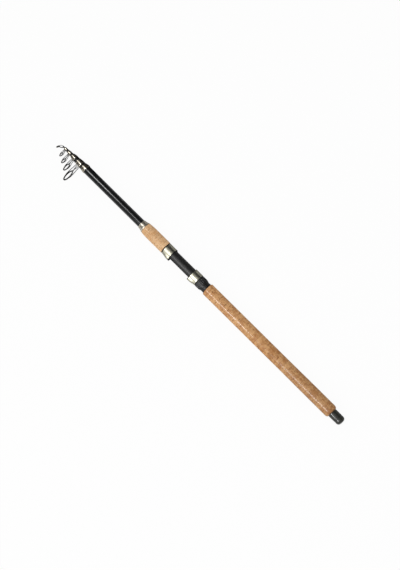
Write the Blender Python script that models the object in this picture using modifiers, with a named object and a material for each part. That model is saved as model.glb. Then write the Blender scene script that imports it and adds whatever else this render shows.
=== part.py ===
"""A telescopic spinning rod, closed up and lying on its side.

The rod's axis runs along +X, from the butt to the tip. Its guides and the saddle of
the reel seat face +Y. The floor is z = 0, and the origin is below the middle of the
rod's outline. Five sections nest in the butt section, and each one slides out towards
the tip. All sizes are in metres. Places along the rod are measured from the butt end.
"""

import math

import bmesh
import bpy
from mathutils import Matrix, Vector
from mathutils.geometry import interpolate_bezier

# Clearances
SEAT_GAP = 0.0003  # between a piece and what it is glued to, screwed to or rests on
SLIDE_GAP = 0.0003  # all round a section in the throat of the one that holds it
PRESS_GAP = 0.0001  # between a ceramic ring and its band, which have matching faces

# Butt section blank
BLANK_REAR_OD = 0.0186
BLANK_FRONT_OD = 0.0182
BLANK_WALL = 0.0011
BLANK_SHOWN = 0.1659  # bare blank between the winding check and the first collar

# Screw cap, its rubber pad, and the ferrule that it screws into
CAP_LENGTH = 0.0117
CAP_INSET = 0.00015  # the cap is this much smaller than the ferrule all round
CAP_EDGE_ROUND = 0.0060  # the dome, measured inwards
CAP_DOME = 0.0062  # the dome, measured along the rod
CAP_GROOVE_DEPTH = 0.0003
CAP_GROOVE_WIDTH = 0.0008
CAP_TRAVEL = 0.0080  # the thread's length: the cap backs out by this before it is free
CAP_THREAD_RELIEF = 0.0005
CAP_NECK_WALL = 0.0015
PAD_THICKNESS = 0.0025
PAD_PLUG_LENGTH = 0.0050
FERRULE_LENGTH = 0.0164
FERRULE_WALL = 0.0007  # over the blank
FERRULE_THREAD_WALL = 0.0016
FERRULE_LIP = 0.0008

# Cork grips
REAR_GRIP_LENGTH = 0.3606
GRIP_OD = 0.0278
GRIP_SWELL_OD = 0.0286  # the rear grip swells a little towards the butt
GRIP_SWELL_LENGTH = 0.0700
GRIP_END_ROUND = 0.0042  # its rear end, rounded inwards
GRIP_END_RUN = 0.0065  # the same rounding, measured along the rod
GRIP_EDGE_ROUND = 0.0008
FORE_GRIP_LENGTH = 0.0599
FORE_GRIP_OD = 0.0274
FORE_GRIP_FRONT_OD = 0.0254
FORE_GRIP_TAPER = 0.0160

# Winding check in front of the fore grip
CHECK_LENGTH = 0.0123
CHECK_RIM_LENGTH = 0.0022
CHECK_RIM_RISE = 0.0025  # the rim over the nose
CHECK_RIM_STEP = 0.0005  # the rim over the start of the cone
CHECK_EDGE = 0.0003
CHECK_NOSE_WALL = 0.0004  # the thin front edge, over the blank
CHECK_HOLLOW = 1.3  # how hollow the cone's side is, where 1 is straight

# Reel seat
SEAT_LENGTH = 0.1198
BARREL_WALL = 0.0017
THREAD_RISE = 0.0002  # the threaded rear part over the smooth barrel
SADDLE_DEPTH = 0.00095  # how deep the flat for the reel foot is cut into the barrel
POCKET_FLOOR_DEPTH = 0.0011  # the same flat where it runs on below the two hoods
TRIM_LENGTH = 0.0016
REAR_TRIM_OD = 0.0236
FRONT_TRIM_OD = 0.0264
HOOD_WALL = 0.0007
LINER_WALL = 0.0005
POCKET_RISE = 0.0020  # a pocket's top over the round of its hood, at the mouth
POCKET_FLAT = 0.0062  # half the width of the pocket's flat top
POCKET_SHOULDER = math.radians(56)  # where the pocket's side runs out into the round
POCKET_RUN = 0.8  # the share of its hood's length that a pocket rises over
FIXED_HOOD_LENGTH = 0.0188
SLIDING_HOOD_LENGTH = 0.0180
HOOD_LIP = 0.0012  # how far the black liner stands out of a hood's mouth
POCKET_END_WALL = 0.0045  # solid liner behind the pocket
NUT_LENGTH = 0.0158
NUT_WALL = 0.0014
NUT_REAR_WALL = 0.0004
NUT_CHAMFER = 0.0042
NUT_FRONT_BAND = 0.0016
NUT_FLUTES = 20
NUT_FLUTE_DEPTH = 0.0005
NUT_SETBACK = 0.0077  # bare thread left behind the nut when the seat is open
HOOD_TRAVEL = 0.0170  # how far the nut's thread runs on below the open hood

# Telescoping sections: the butt's collar first, then sections 2 to 5
COLLAR_LENGTH = (0.0107, 0.0127, 0.0101, 0.0080, 0.0062)
COLLAR_REAR_WALL = (0.0006, 0.00155, 0.00175, 0.00125, 0.0011)
COLLAR_FRONT_WALL = (0.00065, 0.0005, 0.0005, 0.0005, 0.0005)
COLLAR_SHOULDER = 0.0035  # straight part at a collar's rear
COLLAR_LIP = 0.0008
STOP_LENGTH = (0.0038, 0.0055, 0.0040, 0.0040)
STOP_EDGE = 0.0006
SECTION_WALL = (0.0008, 0.0007, 0.0006, 0.00045)
SECTION_TAPER = (0.818, 0.913, 0.747, 0.947)  # a tube's front diameter over its rear one
TIP_TAPER = 0.667

# Guides on sections 2 to 5
RING_OD = (0.0272, 0.0190, 0.0128, 0.0108)
RING_REACH = (0.0362, 0.0259, 0.0212, 0.0147)  # the rod's axis to the ring's centre
RING_SETBACK = (0.0049, 0.0014, 0.0010, 0.0017)  # the collar's rear to the ring's plane
RING_SIDES = (28, 22, 20, 16)
CERAMIC_WALL = (0.0020, 0.0018, 0.0015, 0.0013)
LEG_WIRE = (0.0013, 0.0012, 0.0010, 0.0009)
BAND_WALL = 0.0009
BAND_WIDTH = 0.0018
CERAMIC_WIDTH = 0.0024
CERAMIC_CORNER = (0.8, 0.66)  # where its outer corner starts: shares of width and of wall
CERAMIC_MOUTH = (0.33, 0.4)  # where its flared mouth ends and starts, as the same shares
LEG_BURY = 0.00035  # how deep a brazed wire's end goes into what it is brazed to
LEG_SPREAD = math.radians(38)  # a leg's foot on its collar, each side of the guide's middle
LEG_STANCE = (0.0031, 0.0033, 0.0029, 0.0023)  # along the rod, the ring's plane to its feet
LEG_TOP = math.radians(95)  # where the legs end on the band, each side of its nearest point
LEG_BOW = 0.4  # how long a leg keeps straight at each end, as a share of its rise
CRADLE_ANGLE = math.radians(100)  # how far the tip-top's wires run round its ring

# Tip-top
TIP_TOP_OD = 0.0088
TIP_TOP_REACH = 0.0078
TIP_TOP_ADVANCE = 0.0123  # its sleeve's rear end to the ring's centre
TIP_TOP_LEAN = math.radians(22)
TIP_TOP_SLEEVE_LENGTH = 0.0052
TIP_TOP_SLEEVE_WALL = 0.0005
TIP_TOP_CERAMIC_WALL = 0.0012
TIP_TOP_BAND_WALL = 0.0006
TIP_TOP_WIRE = 0.0009
TIP_TOP_SIDES = 16

# Facets round a piece
SIDES = 28
SECTION_SIDES = 20
WIRE_ROUNDNESS = 1
CORNER_STEPS = 4
LEG_STEPS = 8
FLUTE_STEPS = 4

# Diameters and heights that follow from the ones above
CAP_NECK_LENGTH = CAP_TRAVEL + CAP_THREAD_RELIEF
FERRULE_OD = BLANK_REAR_OD + 2 * (SEAT_GAP + FERRULE_WALL)
CAP_OD = FERRULE_OD - 2 * CAP_INSET
BARREL_OD = BLANK_REAR_OD + 2 * (SEAT_GAP + BARREL_WALL)
THREAD_OD = BARREL_OD + 2 * THREAD_RISE
SADDLE_HEIGHT = BARREL_OD / 2 - SADDLE_DEPTH
POCKET_FLOOR_HEIGHT = BARREL_OD / 2 - POCKET_FLOOR_DEPTH
SEAT_BORE = THREAD_OD / 2 + SLIDE_GAP
LINER_OD = 2 * (SEAT_BORE + LINER_WALL)
HOOD_OD = LINER_OD + 2 * (SEAT_GAP + HOOD_WALL)
POCKET_HEIGHT = HOOD_OD / 2 + POCKET_RISE
NUT_OD = 2 * (SEAT_BORE + NUT_WALL)

# Places along the rod, from the butt end
FERRULE_AT = CAP_LENGTH + SEAT_GAP
REAR_GRIP_AT = FERRULE_AT + FERRULE_LENGTH + SEAT_GAP
REAR_TRIM_AT = REAR_GRIP_AT + REAR_GRIP_LENGTH + SEAT_GAP
SEAT_AT = REAR_TRIM_AT + TRIM_LENGTH + SEAT_GAP
FRONT_TRIM_AT = SEAT_AT + SEAT_LENGTH + SEAT_GAP
FORE_GRIP_AT = FRONT_TRIM_AT + TRIM_LENGTH + SEAT_GAP
CHECK_AT = FORE_GRIP_AT + FORE_GRIP_LENGTH + SEAT_GAP
BUTT_COLLAR_AT = CHECK_AT + CHECK_LENGTH + BLANK_SHOWN
NUT_AT = SEAT_AT + NUT_SETBACK
SLIDING_HOOD_AT = NUT_AT + NUT_LENGTH + SEAT_GAP
FIXED_HOOD_AT = SEAT_AT + SEAT_LENGTH - FIXED_HOOD_LENGTH
BLANK_AT = CAP_LENGTH + CAP_NECK_LENGTH + 2 * SEAT_GAP
BLANK_END = BUTT_COLLAR_AT + COLLAR_SHOULDER
PAD_AT = CAP_LENGTH + CAP_NECK_LENGTH + SEAT_GAP
SECTIONS_AT = PAD_AT + PAD_THICKNESS + SEAT_GAP


def collar_places():
    """Where each collar starts: a stop ring rests on each collar, and holds the next."""
    places = [BUTT_COLLAR_AT]
    for number, stop in enumerate(STOP_LENGTH):
        front = places[-1] + COLLAR_LENGTH[number]
        places.append(front + SEAT_GAP + stop + SEAT_GAP)
    return places


COLLAR_AT = collar_places()
TIP_TOP_AT = COLLAR_AT[-1] + COLLAR_LENGTH[-1] + SEAT_GAP
TIP_TOP_LEAD = TIP_TOP_OD / 2 * math.sin(TIP_TOP_LEAN) + BAND_WIDTH / 2 * math.cos(TIP_TOP_LEAN)
ROD_LENGTH = TIP_TOP_AT + TIP_TOP_ADVANCE + TIP_TOP_LEAD

# The rod lies on its cork, on one of the facets of its widest part
FACET_SHARE = math.cos(math.pi / SIDES)
AXIS_HEIGHT = GRIP_SWELL_OD / 2 * FACET_SHARE
GUIDE_SIDE_REACH = RING_REACH[0] + RING_OD[0] / 2 * FACET_SHARE
AXIS_SIDE = (AXIS_HEIGHT - GUIDE_SIDE_REACH) / 2

# Colours, with roughness and metallic values
CORK = ((0.56, 0.33, 0.17), 0.75, 0.0)
BLANK_GLOSS = ((0.012, 0.013, 0.014), 0.12, 0.0)
SEAT_BLACK = ((0.030, 0.031, 0.032), 0.45, 0.0)
RUBBER_BLACK = ((0.010, 0.010, 0.010), 0.70, 0.0)
CHAMPAGNE = ((0.62, 0.59, 0.50), 0.30, 1.0)
COLLAR_METAL = ((0.55, 0.51, 0.44), 0.28, 1.0)
CERAMIC_BLACK = ((0.020, 0.019, 0.018), 0.15, 0.0)
CAP_BLACK = ((0.020, 0.020, 0.018), 0.22, 0.0)


def clear_scene():
    for thing in list(bpy.data.objects):
        bpy.data.objects.remove(thing, do_unlink=True)


def new_collection(name):
    group = bpy.data.collections.new(name)
    bpy.context.scene.collection.children.link(group)
    return group


def material(name, finish):
    """One sub-part's own material."""
    colour, roughness, metallic = finish
    made = bpy.data.materials.new(name)
    made.use_nodes = True
    shader = made.node_tree.nodes["Principled BSDF"]
    shader.inputs["Base Color"].default_value = (*colour, 1.0)
    shader.inputs["Roughness"].default_value = roughness
    shader.inputs["Metallic"].default_value = metallic
    made.diffuse_color = (*colour, 1.0)
    return made


def body(name, parent, along):
    """An empty on the rod's axis that carries the pieces of one moving body."""
    carrier = bpy.data.objects.new(name + "_axis", None)
    carrier.empty_display_size = GRIP_OD
    ROD.objects.link(carrier)
    carrier["along"] = along
    if parent is None:
        carrier.location = (-ROD_LENGTH / 2 + along, AXIS_SIDE, AXIS_HEIGHT)
    else:
        carrier.parent = parent
        carrier.location = (along - parent["along"], 0.0, 0.0)
    return carrier


def piece(name, mesh, finish, carrier, along, offset=0.0, turn=0.0, roll=0.0):
    """A sub-part: its mesh, its own material, and its place on the body that carries it."""
    made = bpy.data.objects.new(name, mesh)
    ROD.objects.link(made)
    made.data.materials.append(material(name, finish))
    made.parent = carrier
    made.location = (along - carrier["along"], offset, 0.0)
    made.rotation_euler = (Matrix.Rotation(turn, 3, "Z") @ Matrix.Rotation(roll, 3, "X")).to_euler()
    return made


def turned(name, outline, finish, carrier, along, sides=SIDES, offset=0.0, turn=0.0):
    """A turned piece. The outline's points are (distance along the axis, radius), front
    to rear down its outside. It closes on itself round a bore, or ends on the axis."""
    count = len(outline)
    edges = [(i, i + 1) for i in range(count - 1)]
    if outline[0][1] > 0:
        edges.append((count - 1, 0))
    mesh = bpy.data.meshes.new(name)
    mesh.from_pydata([(x, radius, 0.0) for x, radius in outline], edges, [])
    made = piece(name, mesh, finish, carrier, along, offset, turn, math.pi / sides)
    screw = made.modifiers.new("turn", "SCREW")
    screw.axis = "X"
    screw.angle = math.tau
    screw.steps = sides
    screw.render_steps = sides
    screw.use_merge_vertices = True
    screw.merge_threshold = 1e-5
    return made


def lofted(name, rings, finish, carrier, along):
    """A tube between unlike outlines: rings of equal counts, rear to front along the
    outside, then front to rear along the bore, each joined to the next."""
    count = len(rings[0])
    points = [point for ring in rings for point in ring]
    faces = []
    for row in range(len(rings)):
        after = (row + 1) % len(rings)
        for i in range(count):
            j = (i + 1) % count
            faces.append((row * count + i, row * count + j, after * count + j, after * count + i))
    mesh = bpy.data.meshes.new(name)
    mesh.from_pydata(points, [], faces)
    return piece(name, mesh, finish, carrier, along)


def cut(target, tool):
    boolean = target.modifiers.new("cut", "BOOLEAN")
    boolean.operation = "DIFFERENCE"
    boolean.solver = "EXACT"
    boolean.object = tool


def join(target, tool):
    boolean = target.modifiers.new("braze", "BOOLEAN")
    boolean.operation = "UNION"
    boolean.solver = "EXACT"
    boolean.object = tool


def as_tool(thing):
    """Moves a piece to the tools: it shapes another piece, and isn't one itself."""
    ROD.objects.unlink(thing)
    TOOLS.objects.link(thing)
    thing.hide_render = True
    thing.display_type = "WIRE"
    return thing


def box_tool(name, low, high, carrier, along):
    """A box that cuts, given by its lowest and highest corners beside the carrier's axis."""
    shape = bmesh.new()
    bmesh.ops.create_cube(shape, size=1.0)
    size = Vector(high) - Vector(low)
    bmesh.ops.scale(shape, vec=size, verts=shape.verts)
    bmesh.ops.translate(shape, vec=(Vector(low) + Vector(high)) / 2, verts=shape.verts)
    mesh = bpy.data.meshes.new(name)
    shape.to_mesh(mesh)
    shape.free()
    return as_tool(piece(name, mesh, SEAT_BLACK, carrier, along))


def wire_tool(name, points, thickness, carrier, along):
    """A round wire along its points, as a mesh, to be brazed to a frame."""
    curve = bpy.data.curves.new(name, "CURVE")
    curve.dimensions = "3D"
    curve.bevel_depth = thickness / 2
    curve.bevel_resolution = WIRE_ROUNDNESS
    curve.use_fill_caps = True
    spline = curve.splines.new("POLY")
    spline.points.add(len(points) - 1)
    for point, place in zip(spline.points, points):
        point.co = (*place, 1.0)
    rough = bpy.data.objects.new(name + "_curve", curve)
    TOOLS.objects.link(rough)
    mesh = bpy.data.meshes.new_from_object(rough.evaluated_get(bpy.context.evaluated_depsgraph_get()))
    bpy.data.objects.remove(rough)
    shape = bmesh.new()
    shape.from_mesh(mesh)
    bmesh.ops.remove_doubles(shape, verts=shape.verts, dist=1e-6)
    shape.to_mesh(mesh)
    shape.free()
    return as_tool(piece(name, mesh, COLLAR_METAL, carrier, along))


def finish_pieces():
    """Works each piece's modifiers into its mesh, shades its round faces smooth, and
    then removes the tools."""
    graph = bpy.context.evaluated_depsgraph_get()
    shaped = [thing for thing in ROD.objects if thing.type == "MESH"]
    meshes = [bpy.data.meshes.new_from_object(thing.evaluated_get(graph)) for thing in shaped]
    for thing, mesh in zip(shaped, meshes):
        thing.modifiers.clear()
        thing.data = mesh
        mesh.shade_smooth()
        mesh.set_sharp_from_angle(angle=math.radians(35))
    for tool in list(TOOLS.objects):
        bpy.data.objects.remove(tool)
    bpy.data.collections.remove(TOOLS)


def blend(low, high, share):
    return low + (high - low) * share


def ease(share):
    """A smooth step from 0 to 1, level at both ends."""
    share = min(max(share, 0.0), 1.0)
    return share * share * (3.0 - 2.0 * share)


def rounded_rear(radius, size, run):
    """A quarter ellipse from a piece's side, at this radius, round to its rear face at 0.
    It is as deep as size inwards, and as long as run along the axis."""
    points = []
    for step in range(CORNER_STEPS + 1):
        angle = math.pi / 2 * step / CORNER_STEPS
        points.append((run * (1 - math.sin(angle)), radius - size * (1 - math.cos(angle))))
    return points


def blank_radius(along):
    """The outside of the butt section's blank, which tapers evenly."""
    share = (along - BLANK_AT) / (BLANK_END - BLANK_AT)
    return blend(BLANK_REAR_OD, BLANK_FRONT_OD, share) / 2


def over_blank(along):
    """The bore of a piece that is glued over the blank here."""
    return blank_radius(along) + SEAT_GAP


def build_butt_end():
    """The ferrule on the blank's rear end, the cap that screws into it, and the rubber
    pad that the closed sections come down on."""
    neck_room = FERRULE_OD / 2 - FERRULE_THREAD_WALL
    step = BLANK_AT - SEAT_GAP - FERRULE_AT
    ferrule_end = FERRULE_AT + FERRULE_LENGTH
    turned(
        "butt_ferrule",
        [
            (FERRULE_LENGTH, FERRULE_OD / 2 - FERRULE_LIP),
            (FERRULE_LENGTH - FERRULE_LIP, FERRULE_OD / 2),
            (0.0, FERRULE_OD / 2),
            (0.0, neck_room),
            (step, neck_room),
            (step, over_blank(BLANK_AT)),
            (FERRULE_LENGTH, over_blank(ferrule_end)),
        ],
        CAP_BLACK,
        BUTT,
        FERRULE_AT,
    )

    neck = neck_room - SLIDE_GAP
    neck_bore = neck - CAP_NECK_WALL
    floor = CAP_LENGTH + CAP_NECK_LENGTH - PAD_PLUG_LENGTH - 2 * SEAT_GAP
    groove_front = CAP_LENGTH - 2 * CAP_GROOVE_WIDTH
    groove_middle = groove_front - CAP_GROOVE_WIDTH / 2
    cap = [
        (floor, 0.0),
        (floor, neck_bore),
        (CAP_LENGTH + CAP_NECK_LENGTH, neck_bore),
        (CAP_LENGTH + CAP_NECK_LENGTH, neck),
        (CAP_LENGTH, neck),
        (CAP_LENGTH, CAP_OD / 2),
        (groove_front, CAP_OD / 2),
        (groove_middle, CAP_OD / 2 - CAP_GROOVE_DEPTH),
        (groove_front - CAP_GROOVE_WIDTH, CAP_OD / 2),
    ]
    cap += rounded_rear(CAP_OD / 2, CAP_EDGE_ROUND, CAP_DOME)
    cap.append((0.0, 0.0))
    turned("butt_cap", cap, CAP_BLACK, CAP, 0.0)

    pad_radius = blank_radius(BLANK_AT) - BLANK_WALL - SLIDE_GAP
    plug_radius = neck_bore - SEAT_GAP
    turned(
        "butt_pad",
        [
            (PAD_THICKNESS, 0.0),
            (PAD_THICKNESS, pad_radius),
            (0.0, pad_radius),
            (0.0, plug_radius),
            (-PAD_PLUG_LENGTH, plug_radius),
            (-PAD_PLUG_LENGTH, 0.0),
        ],
        RUBBER_BLACK,
        PAD,
        PAD_AT,
        SECTION_SIDES,
    )


def build_blank():
    rear = BLANK_REAR_OD / 2
    front = BLANK_FRONT_OD / 2
    length = BLANK_END - BLANK_AT
    turned(
        "butt_blank",
        [(length, front), (0.0, rear), (0.0, rear - BLANK_WALL), (length, front - BLANK_WALL)],
        BLANK_GLOSS,
        BUTT,
        BLANK_AT,
    )


def build_grips():
    """Two grips of glued cork rings, sanded to one smooth outline."""
    end = REAR_GRIP_LENGTH
    edge = GRIP_EDGE_ROUND
    rear_grip = [(end, GRIP_OD / 2 - edge), (end - edge, GRIP_OD / 2)]
    for share in (0.0, 0.3, 0.7, 1.0):
        x = blend(2 * GRIP_SWELL_LENGTH, GRIP_SWELL_LENGTH, share)
        rear_grip.append((x, blend(GRIP_OD, GRIP_SWELL_OD, ease(share)) / 2))
    rear_grip += rounded_rear(GRIP_SWELL_OD / 2, GRIP_END_ROUND, GRIP_END_RUN)
    rear_grip += [(0.0, over_blank(REAR_GRIP_AT)), (end, over_blank(REAR_GRIP_AT + end))]
    turned("rear_grip", rear_grip, CORK, BUTT, REAR_GRIP_AT)

    end = FORE_GRIP_LENGTH
    fore_grip = [(end, FORE_GRIP_FRONT_OD / 2 - edge), (end - edge, FORE_GRIP_FRONT_OD / 2)]
    for share in (0.33, 0.67, 1.0):
        x = end - FORE_GRIP_TAPER * share
        swell = math.sin(math.pi / 2 * share)
        fore_grip.append((x, blend(FORE_GRIP_FRONT_OD, FORE_GRIP_OD, swell) / 2))
    fore_grip += [(edge, FORE_GRIP_OD / 2), (0.0, FORE_GRIP_OD / 2 - edge)]
    fore_grip += [(0.0, over_blank(FORE_GRIP_AT)), (end, over_blank(FORE_GRIP_AT + end))]
    turned("fore_grip", fore_grip, CORK, BUTT, FORE_GRIP_AT)


def build_winding_check():
    """A rim against the cork, and a hollow-sided cone down to the blank."""
    nose = over_blank(CHECK_AT + CHECK_LENGTH) + CHECK_NOSE_WALL
    rim = nose + CHECK_RIM_RISE
    run = CHECK_LENGTH - CHECK_RIM_LENGTH
    rise = rim - CHECK_RIM_STEP - nose
    outline = [
        (CHECK_RIM_LENGTH + run * share, nose + rise * (1 - share) ** CHECK_HOLLOW)
        for share in (1.0, 0.67, 0.33, 0.0)
    ]
    outline += [(CHECK_RIM_LENGTH - CHECK_EDGE, rim), (CHECK_EDGE, rim), (0.0, rim - CHECK_EDGE)]
    outline += [(0.0, over_blank(CHECK_AT)), (CHECK_LENGTH, over_blank(CHECK_AT + CHECK_LENGTH))]
    turned("winding_check", outline, COLLAR_METAL, BUTT, CHECK_AT)


def trim_ring(name, diameter, along):
    turned(
        name,
        [
            (TRIM_LENGTH, diameter / 2),
            (0.0, diameter / 2),
            (0.0, over_blank(along)),
            (TRIM_LENGTH, over_blank(along + TRIM_LENGTH)),
        ],
        RUBBER_BLACK,
        BUTT,
        along,
    )


def hood_ring(x, top, radius):
    """One outline round a hood: round below, with a flat-topped pocket on its +Y side."""
    corner = math.atan2(POCKET_FLAT, POCKET_HEIGHT)
    ring = []
    for i in range(SIDES):
        angle = math.tau * (i + 0.5) / SIDES
        off = min(angle, math.tau - angle)
        raised = top / math.cos(min(off, corner))
        rise = 1.0 - ease((off - corner) / (POCKET_SHOULDER - corner))
        reach = radius + (raised - radius) * rise if top > radius else radius
        ring.append((x, reach * math.cos(angle), reach * math.sin(angle)))
    return ring


def hood_rings(spans, length, mouth_first, rise, radius):
    """Outlines along a hood, as (share of its length, share of the pocket's rise)."""
    rings = []
    for share in spans:
        x = length * (1.0 - share if mouth_first else share)
        top = radius + rise * ease(share / POCKET_RUN)
        rings.append(hood_ring(x, top, radius))
    return rings[::-1] if mouth_first else rings


def hood(name, length, mouth_first, carrier, along):
    """A pressed metal hood: a sleeve whose pocket rises towards its mouth."""
    shape = (length, mouth_first, POCKET_RISE)
    outside = hood_rings((0.0, 0.2, 0.4, 0.6, POCKET_RUN, 1.0), *shape, HOOD_OD / 2)
    inside = hood_rings((0.0, 0.4, POCKET_RUN, 1.0), *shape, HOOD_OD / 2 - HOOD_WALL)
    lofted(name, outside + inside[::-1], CHAMPAGNE, carrier, along)


def hood_liner(name, length, mouth_first, carrier, along):
    """The plastic sleeve inside a hood. Its lip goes round the whole mouth in front of
    the metal's edge, and the hollow for the reel foot is cut out of its +Y side."""
    edge = length + SEAT_GAP
    end = length + HOOD_LIP
    rings = [
        hood_ring(0.0, LINER_OD / 2, LINER_OD / 2),
        hood_ring(edge, LINER_OD / 2, LINER_OD / 2),
        hood_ring(edge, POCKET_HEIGHT, HOOD_OD / 2),
        hood_ring(end, POCKET_HEIGHT, HOOD_OD / 2),
        hood_ring(end, SEAT_BORE, SEAT_BORE),
        hood_ring(0.0, SEAT_BORE, SEAT_BORE),
    ]
    clear = BARREL_OD / 2
    hollow = [
        hood_ring(POCKET_END_WALL, POCKET_HEIGHT - HOOD_WALL, clear),
        hood_ring(end + HOOD_LIP, POCKET_HEIGHT - HOOD_WALL, clear),
        hood_ring(end + HOOD_LIP, clear / 2, clear / 2),
        hood_ring(POCKET_END_WALL, clear / 2, clear / 2),
    ]
    if mouth_first:
        rings = [[(length - x, y, z) for x, y, z in ring] for ring in rings][::-1]
        hollow = [[(length - x, y, z) for x, y, z in ring] for ring in hollow][::-1]
    liner = lofted(name, rings, SEAT_BLACK, carrier, along)
    cut(liner, as_tool(lofted(name + "_hollow", hollow, SEAT_BLACK, carrier, along)))


def build_reel_seat():
    """The barrel with its saddle, the fixed hood at its front, and the hood that the
    lock nut pushes forward."""
    thread_end = NUT_AT + NUT_LENGTH + HOOD_TRAVEL - SEAT_AT
    barrel = turned(
        "reel_seat_barrel",
        [
            (SEAT_LENGTH, BARREL_OD / 2),
            (thread_end, BARREL_OD / 2),
            (thread_end - THREAD_RISE, THREAD_OD / 2),
            (0.0, THREAD_OD / 2),
            (0.0, over_blank(SEAT_AT)),
            (SEAT_LENGTH, over_blank(SEAT_AT + SEAT_LENGTH)),
        ],
        SEAT_BLACK,
        BUTT,
        SEAT_AT,
    )
    saddle_rear = SLIDING_HOOD_AT + SLIDING_HOOD_LENGTH + 2 * HOOD_LIP - SEAT_AT
    saddle_front = FIXED_HOOD_AT - 2 * HOOD_LIP - SEAT_AT
    pockets_rear = SLIDING_HOOD_AT + POCKET_END_WALL - SEAT_AT
    pockets_front = SEAT_LENGTH - POCKET_END_WALL
    flats = (
        ("rear_pocket_flat", pockets_rear, saddle_rear, POCKET_FLOOR_HEIGHT),
        ("saddle_flat", saddle_rear, saddle_front, SADDLE_HEIGHT),
        ("front_pocket_flat", saddle_front, pockets_front, POCKET_FLOOR_HEIGHT),
    )
    for name, start, end, height in flats:
        low = (start, height, -BARREL_OD)
        high = (end, BARREL_OD, BARREL_OD)
        cut(barrel, box_tool(name, low, high, BUTT, SEAT_AT))

    hood("fixed_hood", FIXED_HOOD_LENGTH, True, BUTT, FIXED_HOOD_AT)
    hood_liner("fixed_hood_liner", FIXED_HOOD_LENGTH, True, BUTT, FIXED_HOOD_AT)
    hood("sliding_hood", SLIDING_HOOD_LENGTH, False, HOOD, SLIDING_HOOD_AT)
    hood_liner("sliding_hood_liner", SLIDING_HOOD_LENGTH, False, HOOD, SLIDING_HOOD_AT)
    trim_ring("rear_trim_ring", REAR_TRIM_OD, REAR_TRIM_AT)
    trim_ring("front_trim_ring", FRONT_TRIM_OD, FRONT_TRIM_AT)


def nut_ring(x, radius, flute_depth):
    """One outline round the lock nut, with a rounded flute between each two ribs."""
    ring = []
    count = FLUTE_STEPS * NUT_FLUTES
    for i in range(count):
        angle = math.tau * i / count
        hollow = max(0.0, math.cos(NUT_FLUTES * angle)) * flute_depth
        ring.append((x, (radius - hollow) * math.cos(angle), (radius - hollow) * math.sin(angle)))
    return ring


def build_lock_nut():
    radius = NUT_OD / 2
    flutes_end = NUT_LENGTH - NUT_FRONT_BAND
    rings = [
        nut_ring(0.0, SEAT_BORE + NUT_REAR_WALL, 0.0),
        nut_ring(NUT_CHAMFER, radius, NUT_FLUTE_DEPTH),
        nut_ring(flutes_end, radius, NUT_FLUTE_DEPTH),
        nut_ring(NUT_LENGTH, radius - NUT_FLUTE_DEPTH, 0.0),
        nut_ring(NUT_LENGTH, SEAT_BORE, 0.0),
        nut_ring(0.0, SEAT_BORE, 0.0),
    ]
    lofted("lock_nut", rings, SEAT_BLACK, NUT, NUT_AT)


def collar_ends(number, held, throat):
    """A collar's outside radii, at its rear and its front. held is the outside of the
    tube that it is glued to, and throat is the bore that the next section slides through."""
    rear = held + SEAT_GAP + COLLAR_REAR_WALL[number]
    covered = held + SEAT_GAP if number else throat
    return rear, covered + COLLAR_FRONT_WALL[number]


def collar(name, number, held, throat, carrier, sides):
    """A metal collar on a section's front end: straight at its rear, then a cone."""
    length = COLLAR_LENGTH[number]
    rear, front = collar_ends(number, held, throat)
    lip = length - COLLAR_LIP if number else COLLAR_SHOULDER + SEAT_GAP
    rounding = (rear - front) / 3
    outline = [
        (length, front),
        (COLLAR_SHOULDER, rear),
        (rounding, rear),
        (0.0, rear - rounding),
        (0.0, held + SEAT_GAP),
        (lip, held + SEAT_GAP),
        (lip, throat),
        (length, throat),
    ]
    return turned(name, outline, COLLAR_METAL, carrier, COLLAR_AT[number], sides)


def ring_outlines(outer, band_wall, ceramic_wall):
    """The outlines of a guide's metal band and of the ceramic ring pressed into it."""
    half = BAND_WIDTH / 2
    chamfer = band_wall / 4
    inner = outer - band_wall
    band = [(half, outer - chamfer), (0.0, outer), (-half, outer - chamfer), (-half, inner), (half, inner)]
    seat = inner - PRESS_GAP
    bore = seat - ceramic_wall
    half = CERAMIC_WIDTH / 2
    corner_x = half * CERAMIC_CORNER[0]
    corner_radius = blend(bore, seat, CERAMIC_CORNER[1])
    mouth_x = half * CERAMIC_MOUTH[0]
    mouth_radius = blend(bore, seat, CERAMIC_MOUTH[1])
    ceramic = [
        (half, corner_radius),
        (corner_x, seat),
        (-corner_x, seat),
        (-half, corner_radius),
        (-half, mouth_radius),
        (-mouth_x, bore),
        (mouth_x, bore),
        (half, mouth_radius),
    ]
    return band, ceramic


def on_ring(centre, radius, x, angle):
    """A point beside a guide's ring. The angle is from the point nearest the rod,
    towards +Z."""
    return Vector((x, centre - radius * math.cos(angle), radius * math.sin(angle)))


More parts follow.
